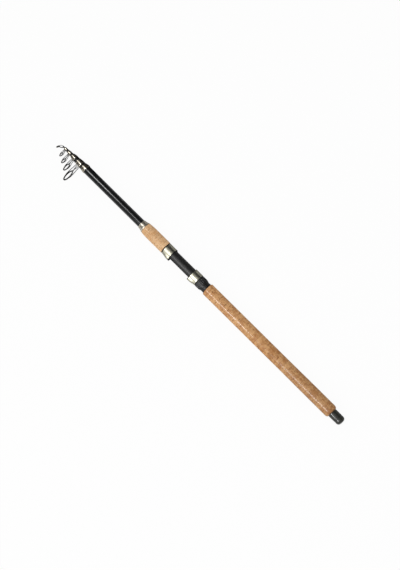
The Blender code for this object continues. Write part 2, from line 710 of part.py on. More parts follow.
def guide(number, carrier, held, throat):
    """A guide: the collar, the band round the ring, and four legs of wire brazed to both.
    Two stand in front of the ring and two behind it, and they close in on its sides."""
    index = number - 2
    name = f"guide_{number}"
    along = COLLAR_AT[number - 1]
    length = COLLAR_LENGTH[number - 1]
    wire = LEG_WIRE[index]
    reach = RING_REACH[index]
    plane = RING_SETBACK[index]
    band, ceramic = ring_outlines(RING_OD[index] / 2, BAND_WALL, CERAMIC_WALL[index])
    frame = collar(f"{name}_frame", number - 1, held, throat, carrier, SECTION_SIDES)

    hoop = turned(f"{name}_band", band, COLLAR_METAL, carrier, along + plane, RING_SIDES[index], reach)
    join(frame, as_tool(hoop))

    hug = RING_OD[index] / 2 - wire / 8
    rear, front = collar_ends(number - 1, held, throat)
    for end, face in (("front", 1), ("rear", -1)):
        foot_x = max(plane + face * LEG_STANCE[index], wire)
        cone = max(foot_x - COLLAR_SHOULDER, 0.0) / (length - COLLAR_SHOULDER)
        radius = blend(rear, front, cone) - LEG_BURY
        for side, sense in (("upper", 1), ("lower", -1)):
            turn = sense * LEG_SPREAD
            foot = Vector((foot_x, radius * math.cos(turn), radius * math.sin(turn)))
            top = on_ring(reach, hug, plane + face * BAND_WIDTH / 2, sense * LEG_TOP)
            bow = Vector((0.0, LEG_BOW * (top.y - foot.y), 0.0))
            leg = interpolate_bezier(foot, foot + bow, top - bow, top, LEG_STEPS)
            join(frame, wire_tool(f"{name}_{end}_{side}_leg", leg, wire, carrier, along))

    place = (carrier, along + plane, RING_SIDES[index], reach)
    turned(f"{name}_ring", ceramic, CERAMIC_BLACK, *place)


def section_radii():
    """Outside and bore radii of sections 2 to 5, as (rear, front, rear bore, front bore).
    A section's rear just slides in the throat of the one that holds it."""
    radii = []
    throat = BLANK_FRONT_OD / 2 - BLANK_WALL
    for wall, taper in zip(SECTION_WALL, SECTION_TAPER):
        rear = throat - SLIDE_GAP
        front = rear * taper
        throat = front - wall
        radii.append((rear, front, rear - wall, throat))
    return radii


def build_sections():
    """The butt's collar, then each section: its tube, the stop ring that rests on the
    collar behind, and its guide."""
    radii = section_radii()
    throat = BLANK_FRONT_OD / 2 - BLANK_WALL
    collar("butt_collar", 0, BLANK_FRONT_OD / 2, throat, BUTT, SIDES)
    for index, (rear, front, rear_bore, front_bore) in enumerate(radii):
        number = index + 2
        carrier = SECTION_BODIES[index]
        collar_at = COLLAR_AT[index + 1]
        length = collar_at + COLLAR_LENGTH[index + 1] - COLLAR_LIP - SEAT_GAP - SECTIONS_AT
        turned(
            f"section_{number}_tube",
            [(length, front), (0.0, rear), (0.0, rear_bore), (length, front_bore)],
            BLANK_GLOSS,
            carrier,
            SECTIONS_AT,
            SECTION_SIDES,
        )
        stop = STOP_LENGTH[index]
        stop_at = collar_at - SEAT_GAP - stop
        bore = blend(rear, front, (stop_at - SECTIONS_AT) / length) + SEAT_GAP
        outer = collar_ends(index + 1, front, front_bore)[0]
        turned(
            f"section_{number}_stop",
            [
                (stop, outer - STOP_EDGE),
                (stop - STOP_EDGE, outer),
                (0.0, outer),
                (0.0, bore),
                (stop, bore),
            ],
            RUBBER_BLACK,
            carrier,
            stop_at,
            SECTION_SIDES,
        )
        guide(number, carrier, front, front_bore)
    return radii


def build_tip(throat):
    """The solid tip section, and the tip-top: a sleeve, a leaning band on two side wires
    and a short brace, and a ceramic ring."""
    rear = throat - SLIDE_GAP
    front = rear * TIP_TAPER
    length = TIP_TOP_AT + TIP_TOP_SLEEVE_LENGTH - SEAT_GAP - SECTIONS_AT
    turned(
        "tip_rod",
        [(length, 0.0), (length, front), (0.0, rear), (0.0, 0.0)],
        BLANK_GLOSS,
        TIP,
        SECTIONS_AT,
        SECTION_SIDES // 2,
    )

    share = (TIP_TOP_AT - SECTIONS_AT) / length
    bore = blend(rear, front, share) + SEAT_GAP
    outer = bore + TIP_TOP_SLEEVE_WALL
    end = TIP_TOP_SLEEVE_LENGTH
    frame = turned(
        "tip_top_frame",
        [(end, outer), (0.0, outer), (0.0, bore), (end, bore)],
        COLLAR_METAL,
        TIP,
        TIP_TOP_AT,
        SECTION_SIDES,
    )
    band, ceramic = ring_outlines(TIP_TOP_OD / 2, TIP_TOP_BAND_WALL, TIP_TOP_CERAMIC_WALL)
    centre = Vector((TIP_TOP_ADVANCE, TIP_TOP_REACH, 0.0))
    place = (TIP, TIP_TOP_AT + TIP_TOP_ADVANCE, TIP_TOP_SIDES, TIP_TOP_REACH, -TIP_TOP_LEAN)
    join(frame, as_tool(turned("tip_top_band", band, COLLAR_METAL, *place)))
    turned("tip_top_ring", ceramic, CERAMIC_BLACK, *place)

    down = Vector((math.sin(TIP_TOP_LEAN), math.cos(TIP_TOP_LEAN), 0.0))
    hug = TIP_TOP_OD / 2 - TIP_TOP_WIRE / 8
    grip = outer - LEG_BURY / 2
    brace = [Vector((end - TIP_TOP_WIRE, grip, 0.0)), centre - down * hug]
    join(frame, wire_tool("tip_top_brace", brace, TIP_TOP_WIRE, TIP, TIP_TOP_AT))
    for side, sense in (("upper", 1), ("lower", -1)):
        wire = [(TIP_TOP_WIRE, 0.0, sense * (outer + TIP_TOP_WIRE / 4))]
        for step in range(4):
            angle = blend(math.radians(50), CRADLE_ANGLE, step / 3)
            point = centre - down * hug * math.cos(angle)
            wire.append((point.x, point.y, sense * hug * math.sin(angle)))
        join(frame, wire_tool(f"tip_top_{side}_wire", wire, TIP_TOP_WIRE, TIP, TIP_TOP_AT))


clear_scene()
ROD = new_collection("fishing_rod")
TOOLS = new_collection("shaping_tools")
BUTT = body("butt_section", None, 0.0)
PAD = body("butt_pad", BUTT, PAD_AT)
CAP = body("butt_cap", PAD, 0.0)
HOOD = body("sliding_hood", BUTT, SLIDING_HOOD_AT)
NUT = body("lock_nut", HOOD, NUT_AT)
SECTION_BODIES = []
for step, _ in enumerate(SECTION_WALL):
    holder = SECTION_BODIES[-1] if SECTION_BODIES else BUTT
    SECTION_BODIES.append(body(f"section_{step + 2}", holder, SECTIONS_AT))
TIP = body("tip_section", SECTION_BODIES[-1], SECTIONS_AT)

build_butt_end()
build_blank()
build_grips()
build_winding_check()
build_reel_seat()
build_lock_nut()
last_section = build_sections()[-1]
build_tip(last_section[3])
finish_pieces()
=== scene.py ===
# %% [markdown]
# # A telescopic fishing rod, dressed for its picture
#
# The rod lies closed on a white table. Its sections are pushed into the butt section, so
# only their metal collars and ring guides stand out at the tip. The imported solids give
# every place and size, in metres, with +X along the rod from the butt to the tip, +Y on
# the side of the guides and +Z up. This script makes a fine surface for each solid and
# gives it its finish. Each step starts with a few words on the real piece.

import bpy
import numpy as np
from mathutils import Matrix, Quaternion, Vector


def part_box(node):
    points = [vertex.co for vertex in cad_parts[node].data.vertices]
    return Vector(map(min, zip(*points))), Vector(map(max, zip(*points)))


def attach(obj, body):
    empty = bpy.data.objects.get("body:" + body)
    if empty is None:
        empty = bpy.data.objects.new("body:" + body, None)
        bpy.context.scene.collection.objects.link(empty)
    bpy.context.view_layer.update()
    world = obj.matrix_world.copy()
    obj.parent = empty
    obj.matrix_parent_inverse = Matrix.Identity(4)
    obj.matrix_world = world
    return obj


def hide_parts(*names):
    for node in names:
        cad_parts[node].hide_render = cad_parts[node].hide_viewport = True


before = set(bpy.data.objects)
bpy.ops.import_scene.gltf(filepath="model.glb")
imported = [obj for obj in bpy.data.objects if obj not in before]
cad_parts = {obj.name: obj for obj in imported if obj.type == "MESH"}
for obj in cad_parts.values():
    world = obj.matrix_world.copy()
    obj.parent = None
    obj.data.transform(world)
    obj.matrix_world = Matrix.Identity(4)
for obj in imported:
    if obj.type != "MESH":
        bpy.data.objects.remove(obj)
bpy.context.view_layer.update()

MM = 0.001

# %% [markdown]
# ## Measuring the solids
#
# Nearly every piece is turned about one line, the rod's axis. The axis is the middle of
# the blank's box. A solid's facets touch the true circle at their corners, so its radius
# at a place is read from its points there, on the side that the guides don't stand on.

# %% Read places and radii
def span(node):
    """Where a node starts and ends along the rod."""
    low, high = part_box(node)
    return low.x, high.x


def points_of(node):
    """All of a node's points, one row each."""
    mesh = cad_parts[node].data
    flat = np.zeros(3 * len(mesh.vertices), np.float32)
    mesh.vertices.foreach_get("co", flat)
    return flat.reshape(-1, 3).astype(float)


blank_low, blank_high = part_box("butt_blank")
AXIS_Y = (blank_low.y + blank_high.y) / 2
AXIS_Z = (blank_low.z + blank_high.z) / 2
BUTT_X = span("butt_cap")[0]
TIP_X = span("tip_top_frame")[1]
ONE_RING = 0.05 * MM  # corners this close along the rod belong to one ring of them


def distances(node, x):
    """How far the points of a turned node nearest to x are from the axis, on the side
    away from the guides."""
    points = points_of(node)
    points = points[points[:, 1] < AXIS_Y]
    offset = abs(points[:, 0] - x)
    near = points[offset < offset.min() + ONE_RING]
    return np.hypot(near[:, 1] - AXIS_Y, near[:, 2] - AXIS_Z)


def radius_at(node, x):
    """A turned node's outside radius at x."""
    return distances(node, x).max()


def bore_at(node, x):
    """The radius of its bore at x."""
    return distances(node, x).min()


print("axis at y, z in mm:", round(AXIS_Y / MM, 2), round(AXIS_Z / MM, 2))

# %% [markdown]
# ## The camera
#
# The picture was taken from far above with a long lens, by someone standing a little
# beyond the butt. So the rod tapers hardly at all in the picture, but its guide rings
# show as narrow open ellipses, and the scale shrinks slightly towards the tip. The
# camera is turned about its own view line until the rod lies across the picture's
# diagonal. These few numbers come from the rod's landmarks, fitted to a third of a pixel.

# %% Place the camera
def add_object(name, data):
    """An object with this data, linked to the scene."""
    made = bpy.data.objects.new(name, data)
    bpy.context.scene.collection.objects.link(made)
    return made


CAMERA_HEIGHT = 3.6  # metres above the rod's axis
CAMERA_BEYOND = 0.25  # metres beyond the butt end
AIM_FROM_MIDDLE = -0.0102  # where the view line meets the rod, along it from its middle
AIM_FROM_AXIS = 0.0047  # the same across it, towards the guides
CAMERA_ROLL = np.radians(-45.69)
CAMERA_LENS = 111.9  # millimetres on a sensor 36 mm long

middle_x = (BUTT_X + TIP_X) / 2
camera = add_object("camera", bpy.data.cameras.new("camera"))
camera.data.lens = CAMERA_LENS
camera.location = (BUTT_X - CAMERA_BEYOND, AXIS_Y, AXIS_Z + CAMERA_HEIGHT)
aim = Vector((middle_x + AIM_FROM_MIDDLE, AXIS_Y + AIM_FROM_AXIS, AXIS_Z))
straight = (aim - camera.location).to_track_quat("-Z", "Y")
camera.rotation_mode = "QUATERNION"
camera.rotation_quaternion = straight @ Quaternion((0, 0, 1), CAMERA_ROLL)
bpy.context.scene.camera = camera
bpy.context.scene.view_settings.view_transform = "Standard"
print("camera at", np.round(camera.location, 3))

# %% [markdown]
# ## Shader sums as plain Python
#
# A finish is worked out from numbers that change over the surface. `Field` wraps a socket
# that gives such a number, so that `1 - mask * 0.5` adds the Math nodes by itself.
# `Finish` is a material under way. Its `node` method adds any node: first its settings,
# then its inputs, each a constant or a `Field`.

# %% Wrap sockets and materials
def operation(kind, reflected=False):
    """A method that adds a Math node of this kind to its own value and another."""

    def method(self, other=0.0):
        values = (other, self) if reflected else (self, other)
        return self.finish.node("Math", {"operation": kind}, dict(enumerate(values)))

    return method


class Field:
    """A value that changes over a surface, held as the socket that gives it."""

    def __init__(self, finish, socket):
        self.finish = finish
        self.socket = socket

    __add__ = __radd__ = operation("ADD")
    __sub__, __rsub__ = operation("SUBTRACT"), operation("SUBTRACT", reflected=True)
    __mul__ = __rmul__ = operation("MULTIPLY")
    __truediv__, __rtruediv__ = operation("DIVIDE"), operation("DIVIDE", reflected=True)
    highest = operation("MAXIMUM")
    turn_to = operation("ARCTAN2")  # the angle whose tangent is this over the other
    floor, sine = operation("FLOOR"), operation("SINE")  # of its own value alone

    def rise(self, low, high):
        """0 below low, 1 above high, and a smooth step between them."""
        steps = {"interpolation_type": "SMOOTHSTEP"}
        limits = {"From Min": low, "From Max": high}
        return self.finish.node("MapRange", steps, {"Value": self, **limits})


class Finish:
    """A material under way: a Principled shader, its constants and what feeds it. slot is
    the record's material slot that it is made for; it is kept but not used."""

    def __init__(self, name, constants, slot=None):
        self.slot = slot
        self.material = bpy.data.materials.new(name)
        self.material.use_nodes = True
        self.nodes = self.material.node_tree.nodes
        self.links = self.material.node_tree.links
        self.shader = self.nodes["Principled BSDF"]
        for socket, value in constants.items():
            self.shader.inputs[socket].default_value = value

    def node(self, kind, settings, inputs, output=0):
        """Adds a node of this kind, with its settings and then its inputs."""
        made = self.nodes.new(f"ShaderNode{kind}")
        for name, value in settings.items():
            setattr(made, name, value)
        for name, value in inputs.items():
            if isinstance(value, Field):
                self.links.new(value.socket, made.inputs[name])
            else:
                made.inputs[name].default_value = value
        return Field(self, made.outputs[output])

    def feed(self, socket, field):
        """Links a field to one of the shader's inputs."""
        self.links.new(field.socket, self.shader.inputs[socket])

    def place(self, along=1.0, around=1.0):
        """Object coordinates in millimetres from the rod's axis. along and around scale
        them, so that a pattern on them is drawn out: along 0.2 makes it 5 times longer."""
        scale = np.array([along, around, around]) / MM
        shift = -np.array([BUTT_X, AXIS_Y, AXIS_Z]) * scale
        inputs = {"Location": shift.tolist(), "Scale": scale.tolist()}
        coordinate = self.node("TexCoord", {}, {}, "Object")
        return self.node("Mapping", {}, {"Vector": coordinate, **inputs})

    def parts(self, vector):
        """A vector's x, y and z."""
        split = self.node("SeparateXYZ", {}, {0: vector})
        return [Field(self, output) for output in split.socket.node.outputs]

    def rays(self):
        """1 on a ray from the camera, off gloss, or through glass, and 0 on others."""
        path = self.node("LightPath", {}, {}).socket.node
        kinds = ("Camera", "Glossy", "Transmission")
        return [Field(self, path.outputs[f"Is {kind} Ray"]) for kind in kinds]

    def noise(self, scale, detail=2.0, distortion=0.0, along=1.0, around=1.0):
        """Soft random clouds, scale of them to a millimetre."""
        inputs = {"Scale": scale, "Detail": detail, "Distortion": distortion}
        return self.node("TexNoise", {}, {"Vector": self.place(along, around), **inputs})

    def cells(self, scale, along=1.0, around=1.0):
        """Distance to the middle of each random cell, scale of them to a millimetre."""
        inputs = {"Vector": self.place(along, around), "Scale": scale}
        return self.node("TexVoronoi", {}, inputs, "Distance")

    def random(self, number):
        """A random value from 0 to 1 for each whole number."""
        return self.node("TexWhiteNoise", {"noise_dimensions": "1D"}, {"W": number})

    def mix(self, share, first, second):
        """A colour between two colours."""
        return self.node("Mix", {"data_type": "RGBA"}, {0: share, 6: first, 7: second}, 2)

    def tones(self, share, first, second):
        """Feeds the base with a colour between two that are given as a screen shows them."""
        self.feed("Base Color", self.mix(share, colour(*first), colour(*second)))

    def darken(self, share, shade, depth):
        """A colour made darker where share is 1, down to depth times itself."""
        multiply = {"data_type": "RGBA", "blend_type": "MULTIPLY"}
        return self.node("Mix", multiply, {0: share, 6: shade, 7: (depth, depth, depth, 1)}, 2)

    def bump(self, height, millimetres):
        """Feeds the normal with a relief: height 1 stands this many millimetres up."""
        inputs = {"Height": height, "Distance": millimetres * MM, "Strength": 1.0}
        self.feed("Normal", self.node("Bump", {}, inputs))


def colour(red, green, blue):
    """A colour as a screen shows it, 0 to 255, turned to the linear light of a shader."""
    shown = np.array([red, green, blue]) / 255
    linear = np.where(shown <= 0.04045, shown / 12.92, ((shown + 0.055) / 1.055) ** 2.4)
    return (*linear.tolist(), 1.0)


print("shader sums ready")

# %% [markdown]
# ## The light
#
# The metal and the lacquer tell where the lamps stood. On every piece a bright band lies
# just on the guides' side of the middle, so a wide soft box stands over that side. A thin
# line of light runs along the butt cap and the rear of the cork, again along the front of
# that cork, and along the blank. It moves to the middle towards the tip. Four narrow
# strips of light in a slanting row give it. A box beyond the tip lights the collars' cones.
# The other side of the metal has one dark stripe, which is a black card that is held
# there. Near the tip that whole side is dark, so a second card stands close to the
# collars. The room is white, and two more cards lie beside the rod. They draw the dark
# rims that set a glossy black tube off from white.

# %% White room
ROOM_LIGHT = 0.60  # what the room gives to matt surfaces
ROOM_BRIGHT = 0.36  # the room as gloss shows it, on the guides' side
ROOM_DULL = 0.40  # the same on the other side
ROOM_END = 0.25  # how much of either is left beyond the tip
SIDE_CHANGES = (-0.6, 0.25)  # a ray's Y where the room turns from dull to bright
END_STARTS = (0.14, 0.30)  # a ray's X where the room's end fades in


class Room(Finish):
    """The world under way: its nodes are added as a finish's are."""

    def __init__(self, name):
        self.world = bpy.data.worlds.new(name)
        self.world.use_nodes = True
        self.nodes = self.world.node_tree.nodes
        self.links = self.world.node_tree.links


room = Room("white_room")
shader = room.nodes["Background"]
seen, glossy, through = room.rays()
towards = room.parts(room.node("TexCoord", {}, {}, "Generated"))
reflected = ROOM_DULL + towards[1].rise(*SIDE_CHANGES) * (ROOM_BRIGHT - ROOM_DULL)
reflected = reflected * (1 - towards[0].rise(*END_STARTS) * (1 - ROOM_END))
level = ROOM_LIGHT + glossy * (reflected - ROOM_LIGHT)
room.links.new(level.highest(seen).highest(through).socket, shader.inputs["Strength"])
shader.inputs["Color"].default_value = (1, 1, 1, 1)
bpy.context.scene.world = room.world
print("room light", ROOM_LIGHT)

# %% Lamps
LAMPS = {  # where a lamp's long side starts and ends, its width in metres, and its watts
    "soft_box": ((-1.3, 1.06, 1.4), (0.75, 1.06, 1.4), 2.1, 12.2),
    "tip_box": ((0.75, 0.10, 1.4), (2.0, 0.10, 1.4), 0.8, 4.6),
    "rear_strip": ((-0.40, 1.18, 1.15), (-0.12, 0.85, 1.15), 0.20, 6.2),
    "middle_strip": ((0.0, 0.78, 1.15), (0.165, 0.624, 1.15), 0.20, 5.2),
    "blank_strip": ((0.43, 0.165, 1.15), (0.71, 0.098, 1.15), 0.17, 1.08),
    "head_strip": ((0.71, 0.098, 1.15), (0.84, 0.07, 1.15), 0.17, 1.1),
}


def lamp(name, first, last, width, watts):
    """A flat lamp whose long side runs from first to last, that faces the rod."""
    first, last = Vector(first), Vector(last)
    light = bpy.data.lights.new(name, "AREA")
    light.shape = "RECTANGLE"
    light.size = (last - first).length
    light.size_y = width
    light.energy = watts
    made = add_object(name, light)
    middle = (first + last) / 2
    long_way = (last - first).normalized()
    facing = middle - Vector((middle.x, AXIS_Y, AXIS_Z))
    facing = (facing - facing.project(long_way)).normalized()
    turn = Matrix([long_way, facing.cross(long_way), facing]).transposed()
    made.matrix_world = Matrix.Translation(middle) @ turn.to_4x4()
    return made


for name, numbers in LAMPS.items():
    lamp(name, *numbers).visible_diffuse = name == "soft_box"
print("only gloss shows the lamps:", *list(LAMPS)[1:])

# %% Black cards and table
def sheet(name, outline, ends, finish):
    """A sheet bent along the rod: its outline is (y, z) points, and it runs between two
    places along X."""
    mesh = bpy.data.meshes.new(name)
    points = [(x, y, z) for y, z in outline for x in ends]
    faces = [(2 * i, 2 * i + 1, 2 * i + 3, 2 * i + 2) for i in range(len(outline) - 1)]
    mesh.from_pydata(points, [], faces)
    mesh.materials.append(finish.material)
    made = add_object(name, mesh)
    return made


black = Finish("black_card", {"Base Color": (0.01, 0.01, 0.01, 1), "Roughness": 0.9})
grey = Finish("grey_card", {"Base Color": colour(168, 168, 166), "Roughness": 0.9})
CARDS = {  # a card's outline, where it starts and ends along the rod, and its finish
    "high_card": ([(-0.50, 0.98), (-1.02, 0.47), (-1.12, 0.14)], (-1.4, 0.75), black),
    "tip_card": ([(-0.033, 0.0008), (-0.10, 0.0008), (-0.10, 0.35)], (0.32, 0.75), black),
    "far_card": ([(-0.014, 0.0004), (-0.5, 0.0004)], (-0.9, 0.9), grey),
    "near_card": ([(0.014, 0.0004), (0.05, 0.0004)], (-0.9, 0.9), black),
}
for name, numbers in CARDS.items():
    card = sheet(name, *numbers)
    card.visible_camera = card.visible_diffuse = False
    card.visible_shadow = card.visible_transmission = False

TABLE_HALF = 12.0
TABLE_GLOW = 0.95  # how much of the table's white is seen without its shadows
table = Finish("white_table", {"Base Color": (0.9, 0.9, 0.9, 1), "Roughness": 0.9})
seen, glossy, through = table.rays()
glow = seen.highest(glossy).highest(through) * TABLE_GLOW
white = table.node("Emission", {}, {"Color": (1, 1, 1, 1), "Strength": 1.0})
blended = table.node("MixShader", {}, {0: glow, 2: white})
table.links.new(table.shader.outputs[0], blended.socket.node.inputs[1])
table.links.new(blended.socket, table.nodes["Material Output"].inputs["Surface"])
sheet("white_table", [(-TABLE_HALF, 0), (TABLE_HALF, 0)], (-TABLE_HALF, TABLE_HALF), table)
print("table and cards set")

# %% [markdown]
# ## Surfaces from arrays
#
# Every piece is a grid of points: one parameter runs round the piece, the other along
# its outline or its path. numpy works out the whole grid at once. Three builders do it:
# `turned` carries an outline round the axis, `swept` carries a circle along a path, and
# `surface` joins any grid of points with four-sided faces and closes it.

# %% Join a grid of points
def volume(points, faces):
    """Six times the volume inside the faces: the sum of each triangle's triple product,
    taken from the first point. It is negative where the faces look inwards."""
    total = 0.0
    for each in faces:
        a = points[each[:, 0]] - points[0]
        for second in range(1, each.shape[1] - 1):
            b, c = (points[each[:, second + step]] - points[0] for step in (0, 1))
            total += np.einsum("ij,ij->", a, np.cross(b, c))
    return total


def surface(grid, loop=True):
    """Points and faces over a grid (rows, columns, 3) whose columns meet all round. With
    loop, the last row joins the first, as round a bore. Otherwise a fan of triangles
    closes each end, to the middle of its row. The faces look outwards."""
    rows, columns = grid.shape[:2]
    index = np.arange(rows * columns).reshape(rows, columns)
    right = np.roll(index, -1, axis=1)
    points = grid.reshape(-1, 3)
    if loop:
        corners = [index, right, np.roll(right, -1, axis=0), np.roll(index, -1, axis=0)]
        faces = [np.stack(corners, -1).reshape(-1, 4)]
    else:
        quads = np.stack([index[:-1], right[:-1], right[1:], index[1:]], -1).reshape(-1, 4)
        pole = np.full(columns, rows * columns)
        rear_fan = np.stack([right[0], index[0], pole], -1)
        front_fan = np.stack([index[-1], right[-1], pole + 1], -1)
        faces = [quads, rear_fan, front_fan]
        points = np.concatenate([points, [grid[0].mean(0), grid[-1].mean(0)]])
    if volume(points, faces) < 0:
        faces = [each[:, ::-1] for each in faces]
    return points, faces


def together(*shapes):
    """Several shapes as one, for pieces that are soldered or moulded together."""
    points, faces, count = [], [], 0
    for some_points, some_faces in shapes:
        points.append(some_points)
        faces += [each + count for each in some_faces]
        count += len(some_points)
    return np.concatenate(points), faces


def add_piece(name, shape, finish, body, node, sharp=38):
    """Makes the object, puts it on the body that carries it, and lets it stand for the
    solid that it replaces. Edges sharper than this many degrees stay sharp."""
    points, faces = shape
    mesh = bpy.data.meshes.new(name)
    mesh.from_pydata(points.tolist(), [], [face for each in faces for face in each.tolist()])
    mesh.materials.append(finish.material)
    mesh.shade_smooth()
    mesh.set_sharp_from_angle(angle=np.radians(sharp))
    made = add_object(name, mesh)
    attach(made, body)
    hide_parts(node)
    print(name, "on", body, "faces:", len(mesh.polygons))
    return made


print("surface builders ready")

# %% Turn an outline about the axis
EDGE = 0.12 * MM  # the rounding that a file or a tumbling drum leaves on a metal edge


def about_axis(x, radius, angle, centre_y=AXIS_Y):
    """Points at x along the rod and a radius from its axis, at an angle from the guides'
    side (+Y) towards +Z: y = centre + radius * cos(angle), z = axis + radius * sin(angle)."""
    x, radius, angle = np.broadcast_arrays(x, radius, angle)
    return np.stack([x, centre_y + radius * np.cos(angle), AXIS_Z + radius * np.sin(angle)], -1)


def full_turn(sides):
    """A row of equal steps from 0 up to 2 * pi, as many as there are sides."""
    return np.linspace(0, 2 * np.pi, sides, endpoint=False)[None, :]


def round_grid(outline, sides):
    """The outline's x and radius as columns, and a full turn of angles as a row."""
    return outline[:, :1], outline[:, 1:], full_turn(sides)


def turned(outline, sides=96, loop=True, centre_y=AXIS_Y):
    """Each (x, radius) of the outline, carried round the rod's axis, or round a line
    beside it through centre_y."""
    return surface(about_axis(*round_grid(outline, sides), centre_y), loop)


def rounded(corners, loop=True, steps=5):
    """An outline through corners (x, radius, rounding), where a metal edge's rounding may
    be left out. Each corner becomes the curve (1-t)^2 * before + 2t(1-t) * corner +
    t^2 * after, where before and after lie the rounding away from it along its two sides.
    Without loop the two ends stay as given."""
    corners = np.array([(*corner, EDGE)[:3] for corner in corners], float)
    place, size = corners[:, :2], corners[:, 2]
    to_last = np.roll(place, 1, 0) - place
    to_next = np.roll(place, -1, 0) - place
    lengths = np.hypot(*to_last.T), np.hypot(*to_next.T)
    size = np.minimum(size, 0.49 * np.minimum(*lengths))
    before = place + to_last / lengths[0][:, None] * size[:, None]
    after = place + to_next / lengths[1][:, None] * size[:, None]
    t = np.linspace(0, 1, steps)[None, :, None]
    curve = (1 - t) ** 2 * before[:, None] + 2 * t * (1 - t) * place[:, None] + t**2 * after[:, None]
    line = curve.reshape(-1, 2) if loop else np.concatenate([place[:1], *curve[1:-1], place[-1:]])
    moved = np.linalg.norm(line - np.roll(line, 1, 0), axis=1) > 1e-7
    return line[moved]


def subdivided(line, step):
    """The same closed line, with each long side cut into equal parts up to a step long.
    There is one step for all sides, or one for each."""
    ahead = np.roll(line, -1, 0) - line
    counts = np.ceil(np.linalg.norm(ahead, axis=1) / step).astype(int).clip(1)
    start = np.repeat(np.arange(len(line)), counts)
    share = (np.arange(counts.sum()) - np.repeat(np.cumsum(counts) - counts, counts)) / counts[start]
    return line[start] + ahead[start] * share[:, None]


def evenly(line, step):
    """The same line with its points a step apart, measured along it."""
    along = np.concatenate([[0], np.cumsum(np.linalg.norm(np.diff(line, axis=0), axis=1))])
    wanted = np.linspace(0, along[-1], max(int(round(along[-1] / step)) + 1, 2))
    return np.stack([np.interp(wanted, along, column) for column in line.T], -1)


def turned_piece(name, corners, finish, body, node, sides=96, loop=True):
    """A lathe piece from its outline's corners. Without loop they start and end on the
    axis, and fans close the piece there."""
    outline = rounded(corners, loop)
    if not loop:
        outline = outline[1:-1]
    add_piece(name, turned(outline, sides, loop), finish, body, node)


print("turning ready")

# %% Sweep a circle along a path
def swept(path, radius, reference, sides=14):
    """A round wire along a path of points. At each point the circle lies in the plane
    across the path: radius * (cos(a) * first + sin(a) * second), where first is the
    reference direction made square to the path, and second is square to both."""
    tangent = np.gradient(path, axis=0)
    tangent /= np.linalg.norm(tangent, axis=1)[:, None]
    first = reference - (tangent @ reference)[:, None] * tangent
    first /= np.linalg.norm(first, axis=1)[:, None]
    second = np.cross(tangent, first)
    angle = full_turn(sides)[..., None]
    radius = np.broadcast_to(radius, len(path))[:, None, None]
    grid = path[:, None] + radius * (np.cos(angle) * first[:, None] + np.sin(angle) * second[:, None])
    return surface(grid, loop=False)


def bezier(a, b, c, d, steps=24):
    """The cubic curve from a to d that leaves towards b and arrives from c."""
    t = np.linspace(0, 1, steps)[:, None]
    return (1 - t) ** 3 * a + 3 * t * (1 - t) ** 2 * b + 3 * t**2 * (1 - t) * c + t**3 * d


def ease(share):
    """A smooth step from 0 to 1: 3s^2 - 2s^3."""
    share = np.clip(share, 0, 1)
    return share * share * (3 - 2 * share)


print("sweeping ready")

# %% [markdown]
# ## Cork
#
# A cork grip is a row of cork rings, glued on the blank and sanded together. Each ring
# comes from another piece of bark, so its tone differs a little, and the glue joint
# between two rings shows as a fine dark line. The bark's pores leave brown pits and short
# streaks. Handling has sealed and polished the cork, so it has a faint sheen. The pits
# and joints are modelled, and the mesh keeps their depth in an attribute that colours
# them. The fine grain comes from noise on the object's own coordinates.

# %% Cork finish
RING_WIDTH = 12.7  # millimetres: half an inch is the usual cork ring
CORK_BROWN = colour(104, 64, 36)
POLISHED = (150, 200, 240, 285)  # from the butt, mm: bare cork between the second and third
DARKENED = (20, 380)  # from the butt, mm: the cork's darkening towards the butt fades out between these


def cork(name, light, warm, butt_darkening, spots):
    """Two tones in patches, streaks along the grip and rings, brown pores and dark pits.
    One amount makes the cork darker towards the butt, and spots is the strength of pores and pits.
    Both ends are polished by the hands, so the coat is strong there and thin between."""
    finish = Finish(name, {"Specular IOR Level": 0.25, "Coat Roughness": 0.2}, "cork")
    x = finish.parts(finish.place())[0]
    ring_tone = finish.random((x / RING_WIDTH).floor())
    patches = finish.noise(0.14, 3.0, 0.8, around=0.7).rise(0.34, 0.66)
    streaks = finish.noise(0.45, 3.0, 0.3, along=0.16).rise(0.34, 0.66)
    bars = finish.noise(0.28, 2.0, 0.5, around=0.25).rise(0.56, 0.72)
    grain = finish.noise(0.9, 4.0, 0.4, along=1.6, around=0.45)
    tone = ring_tone * 0.26 + patches * 0.34 + streaks * 0.26 + grain * 0.3
    base = finish.mix(tone.rise(0.30, 0.86), colour(*light), colour(*warm))
    # darker towards the butt, and in the cork's bars
    darker_share = (1 - x.rise(*DARKENED)) * butt_darkening + bars * 0.3
    base = finish.darken(darker_share, base, 0.5)
    pore_field = finish.noise(0.35).rise(0.46, 0.68)
    pore = (1 - finish.cells(0.55, along=1.5, around=0.62).rise(0.05, 0.34)) * pore_field
    speck = (1 - finish.cells(1.7, along=1.1, around=0.9).rise(0.06, 0.26)) * 0.5
    pit = finish.node("Attribute", {"attribute_name": "pit"}, {}, "Fac")
    dark = pore.highest(speck).highest(pit.rise(0.12, 0.7))
    finish.feed("Base Color", finish.mix(dark * spots, base, CORK_BROWN))
    finish.feed("Roughness", 0.52 + grain * 0.2 + dark * 0.2)
    polish = (1 - x.rise(*POLISHED[:2])).highest(x.rise(*POLISHED[2:]))
    finish.feed("Coat Weight", (0.1 + polish * 0.4) * (1 - dark * 0.35))
    finish.bump(grain * 0.4 - pore * 0.5 - speck * 0.4, 0.09)
    return finish


REAR_CORK = cork("darker_rear_cork", (234, 180, 122), (196, 134, 77), butt_darkening=0.45, spots=0.72)
FORE_CORK = cork("pale_cork", (244, 200, 150), (226, 172, 116), butt_darkening=0.0, spots=0.5)
print("finishes:", REAR_CORK.material.name, FORE_CORK.material.name)

